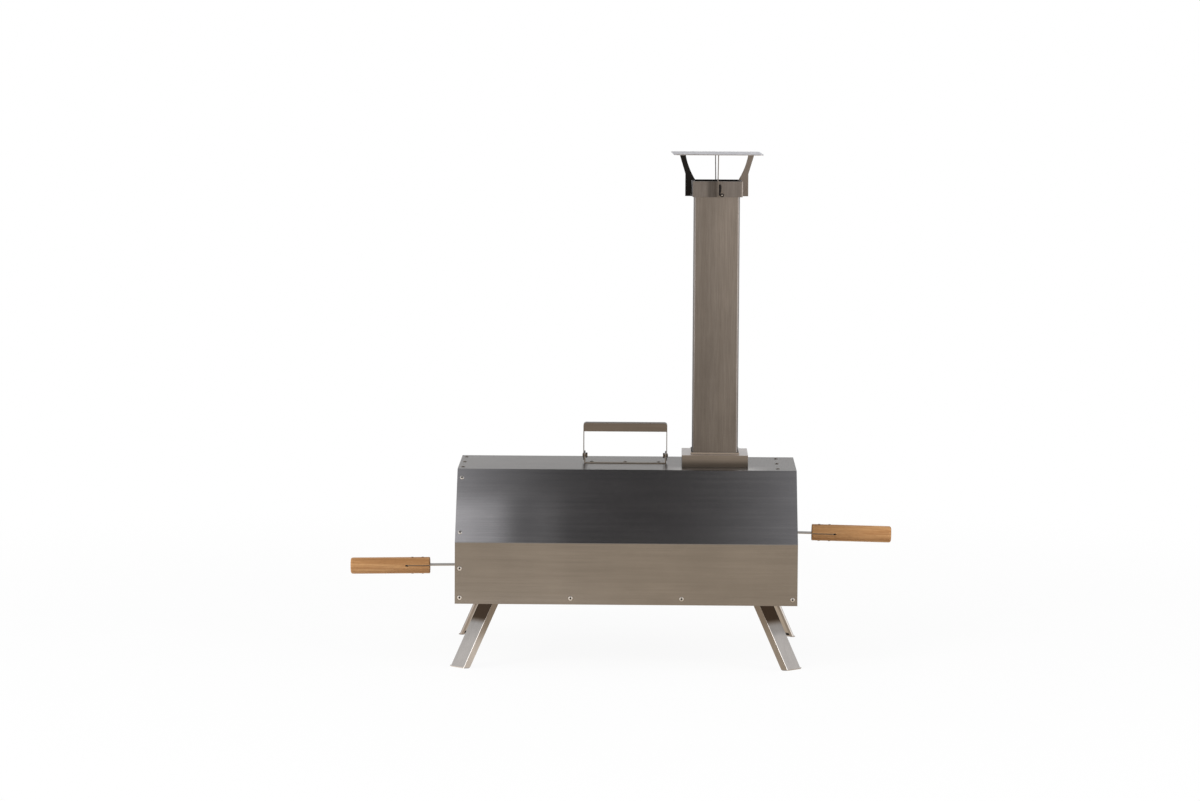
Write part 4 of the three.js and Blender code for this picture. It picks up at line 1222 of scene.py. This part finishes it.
@dataclass
class CapWelds:
    """The spot weld on each tab of the flue cap's brackets, and a dark plate of painted shadow in the
    corner between fin and tab.
    """

    yaw: float = 1.75
    pitch: float = -0.7
    collar_rise: float = 23.4 * MM
    collar_sheet: float = 1.2 * MM
    collar_half: float = 37.0 * MM
    tab_face: float = 38.5 * MM
    seat: float = 0.3 * MM
    weld_place: tuple[float, float] = (6.1 * MM, 2.9 * MM)
    scale_radius: float = 2.85 * MM
    nugget_radius: float = 1.15 * MM
    segments: int = 32
    shadow_sunk: float = 0.1 * MM
    weld_and_shadow_rise: float = 0.12 * MM
    shadow_outline: tuple = (
        (1.3, 18.8),
        (4.7, 18.8),
        (5.1, 16.5),
        (5.3, 13.0),
        (4.8, 8.0),
        (3.6, 3.6),
        (1.3, 1.4),
    )

    def build(self) -> None:
        """Builds the welds and painted shadows of all four brackets."""
        _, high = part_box("flue_tube")
        lean = self.collar_half * math.sin(math.radians(-self.pitch))
        level = high.z + self.seat + lean + self.collar_sheet - self.collar_rise
        turn = Matrix.Rotation(math.radians(self.yaw), 4, "Z")
        turn = turn @ Matrix.Rotation(math.radians(self.pitch), 4, "X")
        place = Matrix.Translation(Vector((FLUE_X, 0.0, level))) @ turn
        mesh = bmesh.new()
        for quarter in range(4):
            face = place @ Matrix.Rotation(math.radians(90.0 * quarter), 4, "Z")
            face = face @ Matrix.Translation(Vector((self.tab_face, 0.0, 0.0)))
            self._weld(mesh, face)
            self._painted_shadow(mesh, face)
        piece("cap_bracket_welds_and_shadows", mesh, "cap", (WELD, RIVET, TAB_SHADOW))

    def _weld(self, mesh: bmesh.types.BMesh, face: Matrix) -> None:
        """Adds one spot weld: a bright nugget in a ring of scale.

        Args:
            mesh: The mesh it is added to.
            face: The tab's outer face, whose local X axis points outwards.
        """
        across, up = self.weld_place
        outwards = Matrix.Rotation(math.radians(90.0), 4, "Y")
        placing = face @ Matrix.Translation(Vector((0.0, across, up))) @ outwards
        inner, outer, rise = self.nugget_radius, self.scale_radius, self.weld_and_shadow_rise
        ring = [(outer, -rise), (outer * 0.97, rise * 0.7), (inner * 1.3, rise), (inner, rise * 0.3)]
        lathe(mesh, ring, self.segments, placing)
        dome = [(inner, -rise), (inner * 0.9, rise * 1.6), (inner * 0.5, rise * 2.6), (0.0, rise * 2.9)]
        lathe(mesh, dome, self.segments, placing, 1)

    def _painted_shadow(self, mesh: bmesh.types.BMesh, face: Matrix) -> None:
        """Adds the dark plate of painted shadow in the corner between fin and tab.

        Args:
            mesh: The mesh it is added to.
            face: The tab's outer face, whose local X axis points outwards.
        """
        outline = [face @ Vector((-self.shadow_sunk, y * MM, z * MM)) for y, z in self.shadow_outline]
        rise = face.to_3x3() @ Vector((self.shadow_sunk + self.weld_and_shadow_rise * 0.5, 0.0, 0.0))
        plate(mesh, outline, rise, 2)


@dataclass(frozen=True)
class Screw:
    """A screw or bolt with a round head, and its hexagon nut.

    The tail is radius shares of the bore and heights, the dome shares of the head's radius and of its rise.
    """

    bore: float
    head: float
    head_rise: float
    flats: float
    tail: tuple
    dome: tuple
    finish: PlatedMetal
    segments: int = 32

    def build(self, name: str, node: str, outward: Vector) -> None:
        """Builds the screw in its node's place.

        Args:
            name: The piece's name.
            node: The node that it is shown for.
            outward: The way from its tail to its head, along one axis.
        """
        low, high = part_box(node)
        middle = (low + high) / 2.0
        length = abs((high - low).dot(outward))
        neck = length - self.head_rise
        profile = [(0.0, 0.0)]
        profile += [(self.bore * share, height) for share, height in self.tail]
        profile += [(self.bore * 0.98, neck), (self.head, neck)]
        profile += [(self.head * radius, neck + self.head_rise * rise) for radius, rise in self.dome]
        profile.append((0.0, length))
        mesh = bmesh.new()
        lathe(mesh, profile, self.segments, aim(middle - outward * (length / 2.0), outward))
        piece(name, mesh, "oven_body", (self.finish,), (node,))

    def build_nut(self, name: str, node: str, along: Vector) -> None:
        """Builds the nut in its node's place.

        Args:
            name: The piece's name.
            node: The node that it is shown for.
            along: The way of its bore, along one axis.
        """
        low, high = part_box(node)
        middle = (low + high) / 2.0
        rise = (high - low).dot(along)
        mesh = bmesh.new()
        hex_nut(mesh, self.flats, self.bore, rise, aim(middle - along * (rise / 2.0), along))
        piece(name, mesh, "oven_body", (self.finish,), (node,))


@dataclass
class Hardware:
    """The legs' bolts and nuts and the bail's screws and nuts, with round heads and chamfers."""

    leg: Screw = Screw(
        bore=2.5 * MM,
        head=4.5 * MM,
        head_rise=1.7 * MM,
        flats=8.0 * MM,
        tail=((0.8, 0.0), (0.98, 0.5 * MM)),
        dome=((0.93, 0.5), (0.6, 0.88)),
        finish=ZINC,
    )
    bail: Screw = Screw(
        bore=2.0 * MM,
        head=3.5 * MM,
        head_rise=1.1 * MM,
        flats=6.6 * MM,
        tail=((0.98, 0.0),),
        dome=((0.9, 0.6), (0.5, 0.92727)),
        finish=FASTENER,
    )

    def build(self) -> None:
        """Builds the hardware of every leg and of both ends of the bail."""
        across = Vector((0.0, 1.0, 0.0))
        for corner in CORNERS:
            outward = across if corner.endswith("far") else -across
            self.leg.build(f"domed_bolt_{corner}", f"leg_bolt_{corner}", outward)
            self.leg.build_nut(f"hexagon_nut_{corner}", f"leg_nut_{corner}", across)
        along = Vector((1.0, 0.0, 0.0))
        for end, outward in (("rear", -along), ("front", along)):
            self.bail.build(f"pan_screw_{end}", f"bail_screw_{end}", outward)
            self.bail.build_nut(f"small_nut_{end}", f"bail_nut_{end}", along)


# Studio


@dataclass(frozen=True)
class SoftBox:
    """A lamp with a wide face that metal doesn't mirror."""

    name: str
    place: tuple
    target: tuple
    size: tuple[float, float]
    power: float

    def build(self) -> None:
        """Hangs the lamp and points it."""
        light = bpy.data.lights.new(self.name, "AREA")
        light.shape = "RECTANGLE"
        light.size, light.size_y = self.size
        light.energy = self.power
        lamp = bpy.data.objects.new(self.name, light)
        bpy.context.scene.collection.objects.link(lamp)
        lamp.visible_glossy = False
        lamp.location = self.place
        lamp.rotation_euler = (Vector(self.target) - Vector(self.place)).to_track_quat("-Z", "Y").to_euler()


@dataclass
class Studio:
    """The floor, the lamps, the cards that the metal mirrors and the camera."""

    floor_size: float = 30.0
    floor_drop: float = 0.2 * MM
    floor_tones: tuple[float, float] = (0.86, 0.9)
    world_level: float = 0.55
    camera_place: tuple = (0.04410, -6.75983, 1.06415)
    camera_yaw: float = -0.01129
    camera_pitch: float = -0.10119
    camera_roll: float = 0.00565
    camera_reach: float = 100.0
    lens: float = 136.65
    sensor: float = 36.0
    white_near: float = 0.93
    white_from: float = 0.7
    white_full: float = 1.9
    flag_near: float = -1.3
    flag_far: float = 1.3
    flag_height: float = 1.15
    flag_tint: Colour = (1.06, 1.11, 1.22)
    flag_tones: tuple = (
        (-0.42, 1.0),
        (-0.27, 0.66),
        (-0.205, 0.40),
        (-0.15, 0.21),
        (-0.06, 0.11),
        (0.06, 0.095),
        (0.14, 0.15),
        (0.24, 0.30),
        (0.31, 0.58),
        (0.55, 1.0),
    )
    apron_half: float = 2.4
    apron_near: float = -2.6
    apron_edge: float = 0.3
    apron_lift: float = 1.0 * MM
    apron_height: float = 1.7
    apron_colour: Colour = (0.88, 0.75, 0.595)
    apron_dim: float = 0.64
    apron_dim_from: float = -0.02
    apron_dim_top: float = 0.33
    apron_glow: Colour = (0.75, 0.75, 0.75)
    glow_depth: tuple[float, float] = (-0.5, -0.42)
    glow_reach: tuple[float, float] = (0.05, -0.1)
    wing_reach: float = 1.2
    wing_near: float = -2.5
    wing_far: float = -0.7
    wing_height: float = 0.95
    wing_colour: Colour = (1.0, 0.97, 0.94)
    wing_strength: float = 2.6
    lamps: tuple[SoftBox, ...] = (
        SoftBox("key_box", (-2.2, -2.6, 2.3), (0.0, 0.0, 0.25), (1.4, 1.4), 62.0),
        SoftBox("fill_box", (2.6, -2.2, 1.7), (0.0, 0.0, 0.25), (1.4, 1.4), 34.0),
        SoftBox("rear_strip", (-2.6, -0.5, 0.7), (0.0, 0.0, 0.7), (0.5, 2.4), 15.0),
        SoftBox("front_strip", (2.6, -0.5, 0.7), (0.0, 0.0, 0.7), (0.5, 2.4), 15.0),
    )

    def build(self) -> None:
        """Sets up everything that isn't part of the oven."""
        bpy.context.scene.view_settings.view_transform = "Standard"
        self._world()
        self._floor()
        self._flag()
        self._apron()
        self._wings()
        for lamp in self.lamps:
            lamp.build()
        self._camera()

    def _world(self) -> None:
        """Lights the scene evenly and shows white behind the oven."""
        world = bpy.data.worlds.new("studio_world")
        bpy.context.scene.world = world
        world.use_nodes = True
        tree = Tree(world.node_tree)
        inputs = {"Value": tree.backdrop_rays(), "To Min": self.world_level, "To Max": 1.0}
        level = tree.add("MapRange", inputs).outputs[0]
        back = tree.add("Background", {"Color": WHITE, "Strength": level}).outputs[0]
        tree.add("OutputWorld", {"Surface": back})

    def _floor(self) -> None:
        """Lays the plain pale floor that keeps the oven's shadow and is white further out."""
        sheet = Sheet("studio_floor")
        mottle = sheet.noise(sheet.stretch((3.0, 3.0, 3.0)), 2.0)
        tone = sheet.remap(mottle, 0.2, 0.8, *self.floor_tones)
        lit = sheet.add("BsdfDiffuse", {"Color": sheet.grey(tone)}).outputs[0]
        white = sheet.add("Emission", {"Color": WHITE, "Strength": 1.0}).outputs[0]
        reach = sheet.add("VectorMath", {0: sheet.place}, operation="LENGTH").outputs["Value"]
        share = sheet.remap(reach, self.white_from, self.white_full, self.white_near)
        share = sheet.times(share, sheet.backdrop_rays())
        material = sheet.close(sheet.add("MixShader", {0: share, 1: lit, 2: white}).outputs[0])
        half = self.floor_size / 2.0
        height = CAD_BOX[0][2] - self.floor_drop
        ways = ((-1.0, -1.0), (1.0, -1.0), (1.0, 1.0), (-1.0, 1.0))
        corners = [(x * half, y * half, height) for x, y in ways]
        self._card("studio_floor", corners, material)

    def _flag(self) -> None:
        """Hangs the flag that the sloped sheets mirror, dark over the middle and paler towards its ends."""
        left, right = self.flag_tones[0][0], self.flag_tones[-1][0]
        near, far, height = self.flag_near, self.flag_far, self.flag_height
        corners = [(left, near, height), (left, far, height), (right, far, height), (right, near, height)]
        sheet = Sheet("studio_flag")
        tone = sheet.ramp(sheet.along("X"), self.flag_tones)
        self._mirrored_card(sheet, corners, sheet.blend(1.0, self.flag_tint, tone, "MULTIPLY"))

    def _apron(self) -> None:
        """Stands a warm card before the oven and lays another at its foot, for upright sheets."""
        half, near, edge, lift = self.apron_half, self.apron_near, self.apron_edge, self.apron_lift
        lying = [(-half, near, lift), (half, near, lift), (half, edge, lift), (-half, edge, lift)]
        sheet = Sheet("studio_apron_foot")
        close = sheet.remap(sheet.along("Y"), *self.glow_depth)
        share = sheet.times(close, sheet.remap(sheet.along("X"), *self.glow_reach))
        self._mirrored_card(sheet, lying, sheet.blend(share, self.apron_colour, self.apron_glow, "ADD"))
        top = self.apron_height
        standing = [(-half, near, 0.0), (half, near, 0.0), (half, near, top), (-half, near, top)]
        sheet = Sheet("studio_apron")
        tone = sheet.remap(sheet.along("Z"), self.apron_dim_from, self.apron_dim_top, self.apron_dim)
        self._mirrored_card(sheet, standing, sheet.toned(self.apron_colour, tone))

    def _wings(self) -> None:
        """Stands a bright card at each side, which the rounded folds mirror as thin lines."""
        near, far, top = self.wing_near, self.wing_far, self.wing_height
        for side, label in ((-1.0, "left"), (1.0, "right")):
            x = side * self.wing_reach
            corners = [(x, near, 0.0), (x, far, 0.0), (x, far, top), (x, near, top)]
            sheet = Sheet(f"studio_wing_{label}")
            self._mirrored_card(sheet, corners, self.wing_colour, self.wing_strength)

    def _mirrored_card(self, sheet: Sheet, corners: list, colour: Value, strength: float = 1.0) -> None:
        """Adds a stage card that only metal mirrors.

        Args:
            sheet: The tree of the card's material, whose name the card takes.
            corners: Its four corners in order.
            colour: What the metal sees.
            strength: How bright that is.
        """
        material = sheet.close(sheet.add("Emission", {"Color": colour, "Strength": strength}).outputs[0])
        card = self._card(material.name, corners, material)
        card.visible_camera = False
        card.visible_diffuse = False
        card.visible_transmission = False
        card.visible_shadow = False

    def _card(self, name: str, corners: list, material: bpy.types.Material) -> bpy.types.Object:
        """Adds a flat stage card.

        Args:
            name: The card's name.
            corners: Its four corners in order.
            material: Its material.

        Returns:
            The card.
        """
        mesh = bmesh.new()
        mesh.faces.new([mesh.verts.new(corner) for corner in corners])
        card = link(name, mesh, (material,))
        return card

    def _camera(self) -> None:
        """Sets the camera where the picture was taken from."""
        yaw, pitch, roll = self.camera_yaw, self.camera_pitch, self.camera_roll
        level = math.cos(pitch)
        forward = Vector((math.sin(yaw) * level, math.cos(yaw) * level, math.sin(pitch)))
        right = Vector((math.cos(yaw), -math.sin(yaw), 0.0))
        up = right.cross(forward)
        rolled_right = right * math.cos(roll) + up * math.sin(roll)
        rolled_up = up * math.cos(roll) - right * math.sin(roll)
        turn = Matrix((rolled_right, rolled_up, -forward)).transposed()
        data = bpy.data.cameras.new("camera")
        data.lens = self.lens
        data.sensor_width = self.sensor
        data.sensor_fit = "HORIZONTAL"
        data.clip_end = self.camera_reach
        camera = bpy.data.objects.new("camera", data)
        bpy.context.scene.collection.objects.link(camera)
        camera.matrix_world = Matrix.Translation(Vector(self.camera_place)) @ turn.to_4x4()
        bpy.context.scene.camera = camera


def main() -> None:
    """Builds the sub-assemblies in order and reports each one."""
    logging.basicConfig(level=logging.INFO, format="%(name)s: %(message)s")
    door_grip = Grip("door", outwards=1.0, droop=1.2, slit_side=-1.0)
    tray_grip = Grip("tray", outwards=-1.0, droop=0.8, slit_side=1.0)
    for part in (Studio(), Carcass(), BlindRivets(), door_grip, tray_grip, CapWelds(), Hardware()):
        part.build()
        LOG.info("%s is built", type(part).__name__)


if __name__ == "__main__":
    main()
